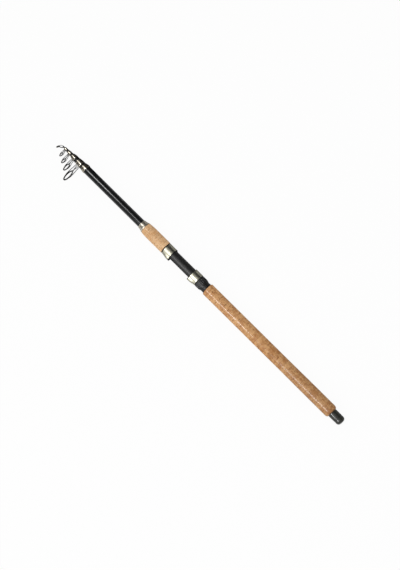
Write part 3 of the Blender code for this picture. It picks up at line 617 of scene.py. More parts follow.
# %% Pits and joints in the cork
LARGE_PITS = (5.5 * MM, 0.36)  # the cell that may hold one pit, and the share that do
SMALL_PITS = (2.6 * MM, 0.28)
LARGE_SINKS, SMALL_SINKS, JOINT_SINKS = 0.05 * MM, 0.03 * MM, 0.01 * MM
JOINT_HALF = 0.35  # millimetres from a joint's middle to where it has mostly faded
PIT_LENGTHS = (0.16, 0.5)  # the least and the most, of its cell
PIT_DEPTHS = (0.3, 1.0)
PIT_SHAPE = (0.6, 1.5)  # how long it is along the grip and round it, of its length
PLAIN_RIM = 0.5 * MM  # a grip's end has no pits this close to its bore
RIM_FADE = 1.5 * MM  # and all of them this far beyond


def pit_depth(along, around, girth, cell, filled, seed):
    """Pits on a surface, from 0 to 1. It is divided into cells, and each holds at most
    one pit, with a random place and size. The depth at a point is that of the deepest pit
    near it, and each pit is a bell, exp(-2 * distance^2), longer round the grip."""
    draw = np.random.default_rng(seed)
    rows = int(along.max() / cell) + 2
    columns = max(int(round(girth / cell)), 3)
    wide = girth / columns
    place = draw.random((rows, columns, 2))
    length = draw.uniform(*PIT_LENGTHS, (rows, columns)) * cell
    depth = draw.uniform(*PIT_DEPTHS, (rows, columns)) * (draw.random((rows, columns)) < filled)
    row, column = np.floor(along / cell).astype(int), np.floor(around / wide).astype(int)
    deepest = np.zeros(np.broadcast(along, around).shape)
    for down in (-1, 0, 1):
        for right in (-1, 0, 1):
            cell_row = np.clip(row + down, 0, rows - 1)
            cell_column = (column + right) % columns
            from_x = (row + down + place[cell_row, cell_column, 0]) * cell - along
            from_side = (column + right + place[cell_row, cell_column, 1]) * wide - around
            size = length[cell_row, cell_column]
            distance = (from_x / size / PIT_SHAPE[0]) ** 2 + (from_side / size / PIT_SHAPE[1]) ** 2
            deepest = np.maximum(deepest, depth[cell_row, cell_column] * np.exp(-2 * distance))
    return deepest


def cork_grip(name, node, finish, corners, columns, step, seed):
    """A grip: the outline round its outside in even steps, sunk by its pits and joints,
    and closed through its bore. The attribute pit keeps how deep each point lies."""
    x, radius, angle = round_grid(evenly(rounded(corners, loop=False, steps=9), step), columns)
    bore = corners[0][1]
    around = angle * radius.mean()
    girth = 2 * np.pi * radius.mean()
    rings = (x - BUTT_X) / MM / RING_WIDTH
    joint = np.exp(-(((rings - np.round(rings)) * RING_WIDTH / JOINT_HALF) ** 2))
    large = pit_depth(x - x.min(), around, girth, *LARGE_PITS, seed)
    small = pit_depth(x - x.min(), around, girth, *SMALL_PITS, seed + 1)
    sunk = large * LARGE_SINKS + small * SMALL_SINKS + joint * JOINT_SINKS
    sunk = sunk * ease((radius - bore - PLAIN_RIM) / RIM_FADE)
    outside = about_axis(x, radius - sunk, angle)
    back = about_axis(x[[-1, 0]], bore, angle)
    shape = surface(np.concatenate([outside, back]))
    made = add_piece(name, shape, finish, "butt_section", node, sharp=60)
    pit = np.zeros(len(shape[0]), np.float32)
    pit[: x.size * columns] = np.maximum(np.maximum(large, small * 0.8), joint * 0.55).ravel()
    made.data.attributes.new("pit", "FLOAT", "POINT").data.foreach_set("value", pit)
    print(name, "length mm:", round(np.ptp(x) / MM, 1))


print("cells for pits, mm:", round(LARGE_PITS[0] / MM, 1), round(SMALL_PITS[0] / MM, 1))

# %% The two grips
SOLID_FACETS = np.cos(np.pi / 28)  # a solid's 28 facets over its corners
SWELL_ENDS = (0.070, 0.140)  # the rear grip's swell fades between these, from its rear
SWELL_ROUND = 20 * MM
GRIP_END_ROUND = 4.2 * MM  # the rear end's rounding, inwards
GRIP_END_RUN = 6.5 * MM  # and along the rod
GRIP_EDGE = 0.8 * MM
FORE_TAPER = 16 * MM  # the fore grip's front narrows over this length


def quarter(x, radius, size, run, steps=12):
    """A quarter ellipse from a side at this radius round to a rear face at x: along
    run * (1 - sin(angle)), and inwards size * (1 - cos(angle)). Rows for `rounded`."""
    angle = np.linspace(0, np.pi / 2, steps)
    along = x + run * (1 - np.sin(angle))
    return list(zip(along, radius - size * (1 - np.cos(angle)), np.zeros(steps)))


rear, front = span("rear_grip")
bore = bore_at("rear_grip", rear)
slim = radius_at("rear_grip", front - GRIP_EDGE)
swell = radius_at("rear_grip", rear + SWELL_ENDS[0]) * SOLID_FACETS
corners = [
    (front, bore),
    (front, slim, GRIP_EDGE),
    (rear + SWELL_ENDS[1], slim, SWELL_ROUND),
    (rear + SWELL_ENDS[0], swell, SWELL_ROUND),
    *quarter(rear, swell, GRIP_END_ROUND, GRIP_END_RUN),
    (rear, bore),
]
cork_grip("rear_cork_grip", "rear_grip", REAR_CORK, corners, 148, 0.62 * MM, seed=11)

rear, front = span("fore_grip")
bore = bore_at("fore_grip", rear)
full = radius_at("fore_grip", front - FORE_TAPER)
corners = [
    (front, bore),
    (front, radius_at("fore_grip", front - GRIP_EDGE), GRIP_EDGE),
    (front - 0.66 * FORE_TAPER, full - 0.1 * MM, 6 * MM),
    (front - FORE_TAPER, full, 2 * MM),
    (rear, full, GRIP_EDGE),
    (rear, bore),
]
cork_grip("fore_cork_grip", "fore_grip", FORE_CORK, corners, 180, 0.5 * MM, seed=23)

# %% [markdown]
# ## The lacquered blank
#
# The butt section is a tapered tube of glass or carbon cloth, wound on a steel mandrel
# under tape. The tape leaves very shallow ridges that wind round the tube, and a thick
# clear lacquer lies over them. A dark base under a full, smooth coat gives this: the coat
# makes the thin hard line of light, and the base below stays soft.

# %% Lacquer finish
TAPE_PITCH = 3.2  # millimetres between two ridges

coat = {"Coat Weight": 1.0, "Coat Roughness": 0.06, "Coat IOR": 1.5}
LACQUER = Finish("black_lacquer", {"Specular IOR Level": 0.2, **coat}, "blank_gloss")
x, y, z = LACQUER.parts(LACQUER.place())
ridge = (x * (2 * np.pi / TAPE_PITCH) + z.turn_to(y)).sine()
cloth = LACQUER.noise(1.4, 3.0, along=0.4)
mottle = LACQUER.noise(0.35, along=0.1)
LACQUER.tones(mottle.rise(0.3, 0.75), (13, 14, 15), (24, 25, 26))
LACQUER.feed("Roughness", 0.26 + cloth * 0.16)
LACQUER.bump(ridge * 0.35 + cloth * 0.3, 0.012)
print("finish:", LACQUER.material.name)

# %% Tubes and the solid tip
SECTIONS = (2, 3, 4, 5)  # the sections that are tubes and carry a guide


def sleeve(name, node, finish, body, rounding=EDGE, sides=96, tapered=True):
    """A tube or ring with its solid's own radii, and a rounding at its outer edges. One
    that isn't tapered has its rear's radii all along."""
    rear, front = span(node)
    measured = front if tapered else rear
    corners = [
        (front, bore_at(node, measured)),
        (front, radius_at(node, measured), rounding),
        (rear, radius_at(node, rear), rounding),
        (rear, bore_at(node, rear)),
    ]
    turned_piece(name, corners, finish, body, node, sides)


sleeve("lacquered_blank", "butt_blank", LACQUER, "butt_section", sides=128)
for number in SECTIONS:
    sleeve(f"section_{number}_blank", f"section_{number}_tube", LACQUER, f"section_{number}")

rear, front = span("tip_rod")
ends = radius_at("tip_rod", front), radius_at("tip_rod", rear)
corners = [(front, 0), (front, ends[0]), (rear, ends[1]), (rear, 0)]
turned_piece("tip_blank", corners, LACQUER, "tip_section", "tip_rod", 48, loop=False)
print("blank length mm:", round(np.ptp(span("butt_blank")) / MM, 1))

# %% [markdown]
# ## Collars, winding check and trim
#
# The metal collars are turned on a lathe and polished, so they have a mirror shine with
# faint rings of tool marks. Each one is a short cone with a straight band at its rear.
# The winding check is the flared metal ring that ends the fore grip. Dark rubber rings
# stand between the collars.

# %% Metal and rubber finishes
def metal(name, slot, tint, roughness, marks, marks_depth):
    """Turned metal: a tint, and fine tool marks that run round it. They are noise drawn
    out round the axis, in the roughness and as a relief of a few micrometres."""
    finish = Finish(name, {"Metallic": 1.0, "Specular IOR Level": 0.5}, slot)
    lines = finish.noise(1.0, 4.0, along=marks, around=0.06)
    cloud = finish.noise(0.5, 3.0, along=0.6, around=0.6)
    finish.feed("Base Color", finish.darken(cloud.rise(0.35, 0.8) * 0.5, colour(*tint), 0.72))
    finish.feed("Roughness", roughness + lines * 0.1 + cloud * 0.06)
    finish.bump(lines, marks_depth)
    return finish


COLLAR_METAL = metal("polished_collar_metal", "collar_metal", (214, 206, 190), 0.10, 9.0, 0.006)
CHECK_METAL = metal("satin_check_metal", "collar_metal", (222, 214, 198), 0.26, 9.0, 0.006)
HOOD_METAL = metal("champagne_hood_metal", "champagne_metal", (202, 199, 180), 0.24, 14.0, 0.006)
FRAME_METAL = metal("dark_chrome_wire", "collar_metal", (46, 44, 41), 0.2, 4.0, 0.003)

RUBBER = Finish("black_rubber", {"Specular IOR Level": 0.35}, "rubber_black")
grain = RUBBER.noise(2.2, 4.0)
dust = RUBBER.noise(0.4, 3.0, along=0.7, around=0.7)
RUBBER.tones(dust.rise(0.45, 0.85), (14, 13, 12), (30, 28, 26))
RUBBER.feed("Roughness", 0.34 + grain * 0.2)
RUBBER.bump(grain, 0.02)
print("metals and rubber ready")

# %% Collars
SHOULDER = 3.5 * MM  # the straight band at a collar's rear
BEAD = 0.35 * MM  # the small step behind it
SCORE = 0.08 * MM  # the depth of the groove in front of it
SEAT_GAP = 0.3 * MM  # what seated pieces leave free
LIP = 0.8 * MM  # the length of the lip that stops a collar on its tube


def collar(name, node, body, rear, front, held, lip):
    """A straight band, a shallow groove and a cone, over a bore of radius held, with a
    narrower lip that starts at the place lip."""
    shoulder = rear + SHOULDER
    big = radius_at(node, shoulder)
    small = radius_at(node, front)
    throat = bore_at(node, front)
    slope = (big - small) / (front - shoulder)
    corners = [
        (front, throat),
        (front, small, 2.5 * EDGE),
        (shoulder + 2 * SCORE, big - slope * 2 * SCORE),
        (shoulder, big - SCORE, EDGE / 2),
        (shoulder - 2 * SCORE, big),
        (rear + 2 * BEAD, big),
        (rear + BEAD, big - BEAD / 4),
        (rear, big - BEAD),
        (rear, held),
        (lip, held, EDGE / 2),
        (lip, throat, EDGE / 2),
    ]
    turned_piece(name, corners, COLLAR_METAL, body, node)


rear, front = span("butt_collar")
held = bore_at("butt_collar", rear)
lip = rear + SHOULDER + SEAT_GAP
collar("butt_collar_ring", "butt_collar", "butt_section", rear, front, held, lip)

collar_ends = {}
for number in SECTIONS:
    body = f"section_{number}"
    node = f"guide_{number}_frame"
    tube_end = span(f"{body}_tube")[1]
    rear = span(f"{body}_stop")[1] + SEAT_GAP
    front = tube_end + SEAT_GAP + LIP
    held = radius_at(f"{body}_tube", tube_end) + SEAT_GAP
    collar(f"guide_{number}_collar", node, body, rear, front, held, front - LIP)
    collar_ends[number] = (rear, front, radius_at(node, rear + SHOULDER), radius_at(node, front))
print("collar lengths mm:", [round((b - a) / MM, 1) for a, b, *_ in collar_ends.values()])

# %% Winding check and rubber rings
RIM_LENGTH = 2.2 * MM
RIM_STEP = 0.5 * MM  # how far its rim stands over its cone
FLARE = 1.3  # the cone's radius rises with (1 - share of its length) to this power
TRIM_ROUND = 0.5 * MM
STOP_ROUND = 0.6 * MM

rear, front = span("winding_check")
rim_end = rear + RIM_LENGTH
rim = radius_at("winding_check", rear + MM)
nose = radius_at("winding_check", front)
share = np.array([0.7, 0.35, 0.0])
cone = rim_end + (front - rim_end) * share, nose + (rim - RIM_STEP - nose) * (1 - share) ** FLARE
corners = [
    (front, bore_at("winding_check", front)),
    (front, nose),
    *zip(*cone, (MM, MM, EDGE)),
    (rim_end - EDGE, rim, 2 * EDGE),
    (rear, rim, 2 * EDGE),
    (rear, bore_at("winding_check", rear)),
]
turned_piece("winding_check_ring", corners, CHECK_METAL, "butt_section", "winding_check", 128)

for place in ("rear", "front"):
    solid = f"{place}_trim_ring"
    sleeve(f"{place}_trim_rubber", solid, RUBBER, "butt_section", TRIM_ROUND, tapered=False)
for number in SECTIONS:
    body = f"section_{number}"
    sleeve(f"{body}_buffer", f"{body}_stop", RUBBER, body, STOP_ROUND, tapered=False)

# %% [markdown]
# ## The reel seat
#
# A spinning reel stands on a foot that lies along a flat on the barrel. The ends of the
# foot go into two pockets. The front pocket is in the fixed hood, and the rear one is in
# a hood that slides. A nut on the barrel's coarse thread pushes the sliding hood forward
# until the foot is held. The barrel is moulded in glass-filled nylon with a satin face,
# and the hoods are pressed in pale anodised aluminium over black liners.

# %% Moulded plastic finish
def moulded(name, dark, pale, roughness, grain_depth):
    """Black moulded plastic: a fine spark-eroded grain and faint cloudy flow marks."""
    finish = Finish(name, {"Specular IOR Level": 0.5}, "seat_black")
    grain = finish.noise(5.5)
    flow = finish.noise(0.3, 3.0, 0.8, along=0.5)
    finish.tones(flow.rise(0.3, 0.8), dark, pale)
    finish.feed("Roughness", roughness + grain * 0.14 + flow * 0.08)
    finish.bump(grain, grain_depth)
    return finish


SEAT_BLACK = moulded("satin_black_nylon", (27, 27, 27), (37, 37, 36), 0.30, 0.02)
LINER_BLACK = moulded("liner_black_nylon", (20, 20, 20), (29, 29, 28), 0.38, 0.015)
print("plastics ready")

# %% Threads and flats
SEAT_SIDES = 144
STEEP = 1.4  # radians from the guides' side, past which a flat no longer cuts a piece
CREST, FLANK = 0.35, 0.45  # of half a pitch: a thread's crest, and the slope beside it


def screw_thread(x, angle, start, end, pitch, depth):
    """How far a thread's hollow lies below its crest. The crest winds round: its phase
    is x / pitch - angle / turn. The hollow has a smooth step on both of its sides, and
    it runs out over one pitch at each end of the thread."""
    phase = (x - start) / pitch - angle / (2 * np.pi)
    from_crest = 1 - abs(2 * (phase - np.floor(phase)) - 1)
    fade = ease((x - start) / pitch) * ease((end - x) / pitch)
    return depth * ease((from_crest - CREST) / FLANK) * fade


def off_top(angle):
    """How far an angle is from the guides' side, either way."""
    return np.minimum(angle, 2 * np.pi - angle)


def flat_top(height, angle):
    """The radius of a flat at this height on the guides' side: height / cos(angle)."""
    off = off_top(angle)
    return np.where(off < STEEP, height / np.cos(np.minimum(off, STEEP)), np.inf)


print("threads and flats ready")

# %% Barrel with its thread and saddle
THREAD_PITCH = 2.0 * MM
THREAD_DEPTH = 0.42 * MM
THREAD_LENGTH = 16.7 * MM  # how far the thread goes on under the sliding hood
HOOD_LIP = 1.2 * MM  # how far a hood's black liner stands out of its mouth
POCKET_END_WALL = 4.5 * MM  # solid liner behind a pocket
SADDLE_HEIGHT = 10.35 * MM  # the flat for the reel foot, over the axis
POCKET_FLOOR = 10.2 * MM  # the same flat below the hoods
THREAD_ROWS, PLAIN_ROWS, BORE_ROWS = 0.2 * MM, 0.6 * MM, 6 * MM  # the mesh's steps

node = "reel_seat_barrel"
rear, front = span(node)
barrel_bore = bore_at(node, rear)
barrel_radius = radius_at(node, front)
thread_radius = radius_at(node, rear)
slide_rear, slide_front = span("sliding_hood")
fixed_rear, fixed_front = span("fixed_hood")
thread_end = slide_rear + THREAD_LENGTH
saddle = (slide_front + 2 * HOOD_LIP, fixed_rear - 2 * HOOD_LIP)
pockets = (slide_rear + POCKET_END_WALL, fixed_front - POCKET_END_WALL)

outline = rounded([
    (front, barrel_bore),
    (front, barrel_radius),
    (thread_end, barrel_radius, 0),
    (thread_end - 2 * EDGE, thread_radius, 0),
    (rear, thread_radius, 3 * EDGE),
    (rear, barrel_bore),
])
middles = (outline + np.roll(outline, -1, 0)) / 2
outside = middles[:, 1] > (barrel_bore + barrel_radius) / 2
threaded = outside & (middles[:, 0] < thread_end)
steps = np.where(threaded, THREAD_ROWS, np.where(outside, PLAIN_ROWS, BORE_ROWS))
x, radius, angle = round_grid(subdivided(outline, steps), SEAT_SIDES)
hollow = screw_thread(x, angle, rear + MM, thread_end - MM, THREAD_PITCH, THREAD_DEPTH)
radius = radius - hollow * (radius > 0.97 * barrel_radius)
height = np.where((x > saddle[0]) & (x < saddle[1]), SADDLE_HEIGHT, POCKET_FLOOR)
in_flats = (x > pockets[0]) & (x < pockets[1])
radius = np.where(in_flats, np.minimum(radius, flat_top(height, angle)), radius)
shape = surface(about_axis(x, radius, angle))
add_piece("reel_seat_tube", shape, SEAT_BLACK, "butt_section", node)

# %% Hoods and their liners
POCKET_HALF = 6.2 * MM  # half the width of a pocket's flat top
POCKET_SHOULDER = np.radians(56)  # where a pocket's side runs out into the round
POCKET_RUN = 0.8  # the share of its hood's length that a pocket rises over
HOOD_WALL = 0.7 * MM
LINER_GAP = 0.3 * MM
LINER_WALL = 0.45 * MM
CORNER_TURNS = np.radians([-4, -2, 0, 2, 4])  # a pocket is averaged over these

hood_low, hood_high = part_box("fixed_hood")
hood_radius = (hood_high.z - hood_low.z) / 2 / SOLID_FACETS
pocket_height = hood_high.y - AXIS_Y
pocket_corner = np.arctan2(POCKET_HALF, pocket_height)
seat_bore = barrel_radius + 0.5 * MM


def pocket(angle, top, radius):
    """Round below, and a flat at the height top on the guides' side. The radius is
    top / cos(angle) as far as the flat's corner, and from there a smooth step brings it
    down to the round. It is averaged over a few degrees, which rounds the corners."""
    total = 0.0
    for turn in CORNER_TURNS:
        off = off_top((angle + turn) % (2 * np.pi))
        raised = top / np.cos(np.minimum(off, pocket_corner))
        share = 1 - ease((off - pocket_corner) / (POCKET_SHOULDER - pocket_corner))
        total = total + radius + (raised - radius) * share * (top > radius + 1e-6)
    return total / len(CORNER_TURNS)


def pocket_top(from_rear, length, radius):
    """The height of a hood's top: it rises over its length with a smooth step."""
    return radius + (pocket_height - hood_radius) * ease(from_rear / length / POCKET_RUN)


def hood_sleeve(length, angle):
    """A pressed sleeve: its section follows `pocket`, and its outline is a thin wall with
    rounded edges. Gives the distance from its rear, away from its mouth, and the radius."""
    corners = [(length, -HOOD_WALL), (length, 0, 2 * EDGE), (0, 0, 1.5 * EDGE), (0, -HOOD_WALL)]
    wall = subdivided(rounded(corners), 0.8 * MM)
    from_rear, radius = wall[:, :1], hood_radius + wall[:, 1:]
    return from_rear, pocket(angle, pocket_top(from_rear, length, radius), radius)


def hood_liner(length, angle):
    """The liner: it follows the hood's inside, has the pocket's hollow in it, and stands
    out of the mouth as a lip as thick as the hood. Gives the same two as the sleeve."""
    end = length + HOOD_LIP
    lip = length + LINER_GAP
    inside = hood_radius - HOOD_WALL
    hollow = pocket(angle, pocket_height - HOOD_WALL, seat_bore)

    def outer(from_rear):
        """Its outside: the hood's inside, less the gap."""
        return pocket(angle, pocket_top(from_rear, length, inside), inside) - LINER_GAP

    def mouth(inset):
        """The lip's outside: the hood's at its mouth, less an inset."""
        return pocket(angle, pocket_height - inset, hood_radius - inset)

    def inner(from_rear):
        """Its inside: the pocket's hollow, as far as the thinnest wall and the bore let it."""
        return np.maximum(seat_bore, np.minimum(hollow, outer(from_rear) - LINER_WALL))

    back = np.linspace(0, lip, 20)[:, None]
    front_part = np.linspace(lip, POCKET_END_WALL, 16)[:, None]
    rows = [
        (back, outer(back)),
        (lip, mouth(EDGE)),
        (lip + EDGE, mouth(0)),
        (end - 2 * EDGE, mouth(0)),
        (end - EDGE / 2, mouth(EDGE / 2)),
        (end, mouth(2 * EDGE)),
        (end, hollow + EDGE),
        (end - EDGE, hollow),
        (lip, np.minimum(hollow, mouth(HOOD_WALL))),
        (front_part, inner(front_part)),
        (POCKET_END_WALL - EDGE, seat_bore),
        (0, seat_bore),
    ]
    places = [np.atleast_2d(place) for place, _ in rows]
    reach = [np.broadcast_to(rows[i][1], (len(places[i]), SEAT_SIDES)) for i in range(len(rows))]
    return np.concatenate(places), np.concatenate(reach)


angle = full_turn(SEAT_SIDES)
HOODS = {  # the solid that a hood replaces, and the body that carries it
    "front_hood": ("fixed_hood", "butt_section"),
    "rear_hood": ("sliding_hood", "sliding_hood"),
}
for name, (node, body) in HOODS.items():
    rear, front = span(node)
    sleeve_piece = (name, node, HOOD_METAL, hood_sleeve)
    lining_piece = (f"{name}_lining", f"{node}_liner", LINER_BLACK, hood_liner)
    for piece, solid, finish, build in (sleeve_piece, lining_piece):
        from_rear, reach = build(front - rear, angle)
        x = front - from_rear if name == "front_hood" else rear + from_rear
        add_piece(piece, surface(about_axis(x, reach, angle)), finish, body, solid)
print("hood radius and pocket height, mm:", round(hood_radius / MM, 2), round(pocket_height / MM, 2))

# %% [markdown]
# ## The lock nut
#
# The nut is moulded in the same plastic as the barrel. Long shallow flutes give the
# fingers a hold, and it narrows to the thread at its rear. Its radius is the outline's,
# less a rounded wave that repeats twenty times round and fades at both ends.

# %% Lock nut
FLUTES = 20
FLUTE_DEPTH = 0.5 * MM
FLUTE_FULL = 1.15  # how much of the wave is cut to a full hollow
NUT_CHAMFER = 4.2 * MM
NUT_BAND = 1.6 * MM  # the plain band at its front
NUT_EASE = 0.5 * MM  # how far that band narrows

node = "lock_nut"
rear, front = span(node)
nut_radius = radius_at(node, rear + NUT_CHAMFER)
outline = rounded([
    (front, seat_bore),
    (front, nut_radius - NUT_EASE, 2 * EDGE),
    (front - NUT_BAND / 2, nut_radius - 0.9 * NUT_EASE),
    (front - NUT_BAND, nut_radius, 3 * EDGE),
    (rear + NUT_CHAMFER, nut_radius, 1.2 * MM),
    (rear, radius_at(node, rear), 2 * EDGE),
    (rear, seat_bore),
])
x, radius, angle = round_grid(subdivided(outline, 0.4 * MM), FLUTES * 16)
fade = ease((x - rear - 0.5 * NUT_CHAMFER) / (2 * MM)) * ease((front - NUT_BAND - x) / (0.8 * MM))
flute = FLUTE_DEPTH * ease(FLUTE_FULL * np.maximum(0, np.cos(FLUTES * angle))) * fade
radius = radius - flute * (radius > seat_bore + 0.6 * MM)
add_piece("fluted_lock_nut", surface(about_axis(x, radius, angle)), SEAT_BLACK, node, node, sharp=50)

# %% [markdown]
# ## The butt end
#
# A short ferrule is glued on the blank, and a domed cap screws into it. Taken off, it
# lets the sections out for drying. A rubber pad on the cap softens the knock when the
# rod is closed. Cap and ferrule are turned in aluminium and anodised a deep gloss black.

# %% Anodised finish
coat = {"Coat Weight": 0.45, "Coat Roughness": 0.06}
ANODISED = Finish("black_anodised_metal", {"Specular IOR Level": 0.4, **coat}, "cap_gloss")
marks = ANODISED.noise(1.0, 3.0, along=9.0, around=0.08)
cloud = ANODISED.noise(0.6, along=0.7, around=0.7)
ANODISED.tones(cloud.rise(0.3, 0.8), (44, 44, 40), (58, 58, 52))
ANODISED.feed("Roughness", 0.22 + marks * 0.12)
ANODISED.bump(marks, 0.006)
print("finish:", ANODISED.material.name)

# %% Ferrule
CHAMFER = 0.8 * MM
GROOVE_DEPTH = 0.3 * MM
FERRULE_GROOVES = (3.1 * MM, 1.7 * MM)  # from its rear


def groove(x, radius, half):
    """The three corners of a small groove turned into an outline at x."""
    return [(x + half, radius), (x, radius - GROOVE_DEPTH), (x - half, radius)]


node = "butt_ferrule"
rear, front = span(node)
ferrule_radius = radius_at(node, rear)
neck_room = bore_at(node, rear)
held = bore_at(node, front)
step = span("butt_blank")[0] - SEAT_GAP
corners = [
    (front, held),
    (front, ferrule_radius - CHAMFER, 2 * EDGE),
    (front - CHAMFER, ferrule_radius, 3 * EDGE),
    *groove(rear + FERRULE_GROOVES[0], ferrule_radius, 0.3 * MM),
    *groove(rear + FERRULE_GROOVES[1], ferrule_radius, 0.3 * MM),
    (rear, ferrule_radius, 2 * EDGE),
    (rear, neck_room),
    (step, neck_room),
    (step, held),
]
turned_piece("butt_ferrule_ring", corners, ANODISED, "butt_section", node, 128)

# %% Cap
CAP_FACE = 3.4 * MM  # the radius of the nearly flat middle of the dome
CAP_DOME = 6.2 * MM  # the dome's length
CAP_GROOVE = 2.0 * MM  # from the cap's front face
NECK_PITCH = 1.25 * MM
NECK_DEPTH = 0.4 * MM
NECK_PLAIN = (0.6 * MM, 0.3 * MM)  # the neck without thread at its rear and at its front
NECK_ROWS = 0.12 * MM  # the mesh's steps along the thread

node = "butt_cap"
cap_rear, cap_front = span(node)
cap_end = rear - SEAT_GAP
cap_radius = radius_at(node, cap_end)
neck = radius_at(node, cap_front)
neck_bore = bore_at(node, cap_front)
plug = span("butt_pad")[0] - SEAT_GAP
corners = [
    (plug, 0),
    (plug, neck_bore),
    (cap_front, neck_bore),
    (cap_front, neck, 3 * EDGE),
    (cap_end, neck),
    (cap_end, cap_radius, 2 * EDGE),
    *groove(cap_end - CAP_GROOVE, cap_radius, 0.4 * MM),
    *quarter(cap_rear, cap_radius, cap_radius - CAP_FACE, CAP_DOME, 16),
    (cap_rear, 0),
]
outline = rounded(corners, loop=False, steps=9)[1:-1]
neck_line = (outline[:, 0] > cap_end) & (abs(outline[:, 1] - neck) < 2 * EDGE)
first, last = np.flatnonzero(neck_line)[[0, -1]]
threaded = evenly(outline[first : last + 1], NECK_ROWS)
outline = np.concatenate([outline[:first], threaded, outline[last + 1 :]])
x, radius, angle = round_grid(outline, SEAT_SIDES)
first, last = cap_end + NECK_PLAIN[0], cap_front - NECK_PLAIN[1]
hollow = screw_thread(x, angle, first, last, NECK_PITCH, NECK_DEPTH)
radius = radius - hollow * (abs(radius - neck) < 0.05 * MM)
shape = surface(about_axis(x, radius, angle), loop=False)
add_piece("domed_butt_cap", shape, ANODISED, node, node)

# %% Pad
PAD_DISH = 0.5 * MM  # the depth of the ring pressed into its face
FLANGE = 2.5 * MM

node = "butt_pad"
rear, front = span(node)
pad_radius = radius_at(node, front)
plug_radius = radius_at(node, rear)
corners = [
    (front, 0),
    (front, 0.45 * pad_radius),
    (front - PAD_DISH, 0.5 * pad_radius),
    (front - PAD_DISH, 0.7 * pad_radius),
    (front, 0.75 * pad_radius),
    (front, pad_radius, 0.5 * MM),
    (front - FLANGE, pad_radius, 0.4 * MM),
    (front - FLANGE, plug_radius),
    (rear, plug_radius, 0.5 * MM),
    (rear, 0),
]
turned_piece("butt_pad_rubber", corners, RUBBER, node, node, loop=False)

# %% [markdown]
# ## Guides
#
# A guide leads the line. Its hard black ceramic ring is pressed into a steel band, and
# the band stands on four legs of bent wire. Two stand in front of the ring and two behind
# it. They close in on the ring's sides and are brazed there, so the half of the ring that
# is near the rod looks thicker. Each wire is a circle swept along a smooth curve, which
# swells slightly at its foot where the braze has flowed. All of it is plated dark.

# %% Ceramic finish
coat = {"Coat Weight": 0.2, "Coat Roughness": 0.05}
CERAMIC = Finish("black_ceramic", {"Specular IOR Level": 0.6, **coat}, "ceramic_black")
cloud = CERAMIC.noise(0.8, 3.0)
CERAMIC.tones(cloud.rise(0.3, 0.8), (14, 14, 13), (24, 23, 22))
CERAMIC.feed("Roughness", 0.1 + cloud * 0.12)
CERAMIC.bump(cloud, 0.004)
print("finish:", CERAMIC.material.name)

# %% Band and ring
BAND_HALF = {2: 1.05 * MM, 3: 0.95 * MM, 4: 0.85 * MM, 5: 0.8 * MM, "tip": 0.8 * MM}
RING_HALF = {2: 1.35 * MM, 3: 1.2 * MM, 4: 1.1 * MM, 5: 1.0 * MM, "tip": 1.1 * MM}
ASKEW = dict(zip(SECTIONS, np.radians([3, 6, 9, 9])))  # how far a ring is turned on its wires
UPPER, OUTER = 2, 1  # the sides along Z and along Y that are tipped towards the tip
PRESS_GAP = 0.1 * MM


def ring_measures(node):
    """The middle of a pressed ring, its bore radius and its outside radius."""
    low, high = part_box(node)
    middle = (low + high) / 2
    points = points_of(node)
    radii = np.hypot(points[:, 1] - middle.y, points[:, 2] - AXIS_Z)
    return middle.x, middle.y, radii.min(), radii.max()


def band(x, centre_y, inner, outer, half):
    """A half-round hoop about a line beside the rod's axis."""
    corners = [
        (x + half, inner),
        (x + half, outer - 0.25 * MM, 0.2 * MM),
        (x + half / 2, outer, 0.3 * MM),
        (x - half / 2, outer, 0.3 * MM),
        (x - half, outer - 0.25 * MM, 0.2 * MM),
        (x - half, inner),
    ]
    return turned(rounded(corners), centre_y=centre_y)


def ceramic_ring(x, centre_y, bore, seat, half):
    """A ring with a well rounded mouth on both sides, which spares the line."""
    wall = seat - bore
    rim, mouth = seat - 0.36 * wall, bore + 0.42 * wall
    corners = [
        (x + half, rim, 0.3 * MM),
        (x + 0.8 * half, seat, 0.15 * MM),
        (x - 0.8 * half, seat, 0.15 * MM),
        (x - half, rim, 0.3 * MM),
        (x - half, mouth, 0.4 * MM),
        (x - 0.35 * half, bore, 0.5 * MM),
        (x + 0.35 * half, bore, 0.5 * MM),
        (x + half, mouth, 0.4 * MM),
    ]
    return turned(rounded(corners), centre_y=centre_y)


print("rings turned by, degrees:", np.round(np.degrees(list(ASKEW.values()))))

# %% Wires
LEG_BURY = 0.35 * MM  # how deep a leg's foot is sunk in its collar
LEG_SPREAD = np.radians(38)  # a leg's foot on its collar, each side of the guide's middle
LEG_JOINS = np.radians(86)  # where it meets the ring, each side of its nearest point
LEG_ENDS = np.radians(106)  # and where it has run out along the ring
LEG_BOW = 0.4  # the pull of its curve, as a share of its height
LEG_SINKS = np.linspace(1, 0.3, 24) ** 0.5  # its end's place across the ring, of half a band
WIRES = {2: 1.5 * MM, 3: 1.35 * MM, 4: 1.2 * MM, 5: 1.05 * MM}
STANCES = {2: 3.1 * MM, 3: 3.3 * MM, 4: 2.9 * MM, 5: 2.3 * MM}  # the ring to its feet
WIRE_ROWS = 0.45 * MM  # the mesh's steps along a wire
BRAZE = 0.9 * MM  # how far the braze runs up from a foot
BRAZE_SWELL = 0.45  # how much thicker it makes the foot, of its radius
THIN_RUN = 3 * MM  # the length over which an end runs out
ALONG, OUTWARD, ACROSS = np.eye(3)  # unit steps along X, Y and Z


def on_ring(centre, radius, angle):
    """Points on a circle round a ring's middle, at angles from the point nearest to the
    rod: y = middle - radius * cos(angle), z = axis + radius * sin(angle)."""
    x, y, z = centre
    return np.stack([0 * angle + x, y - radius * np.cos(angle), z + radius * np.sin(angle)], -1)


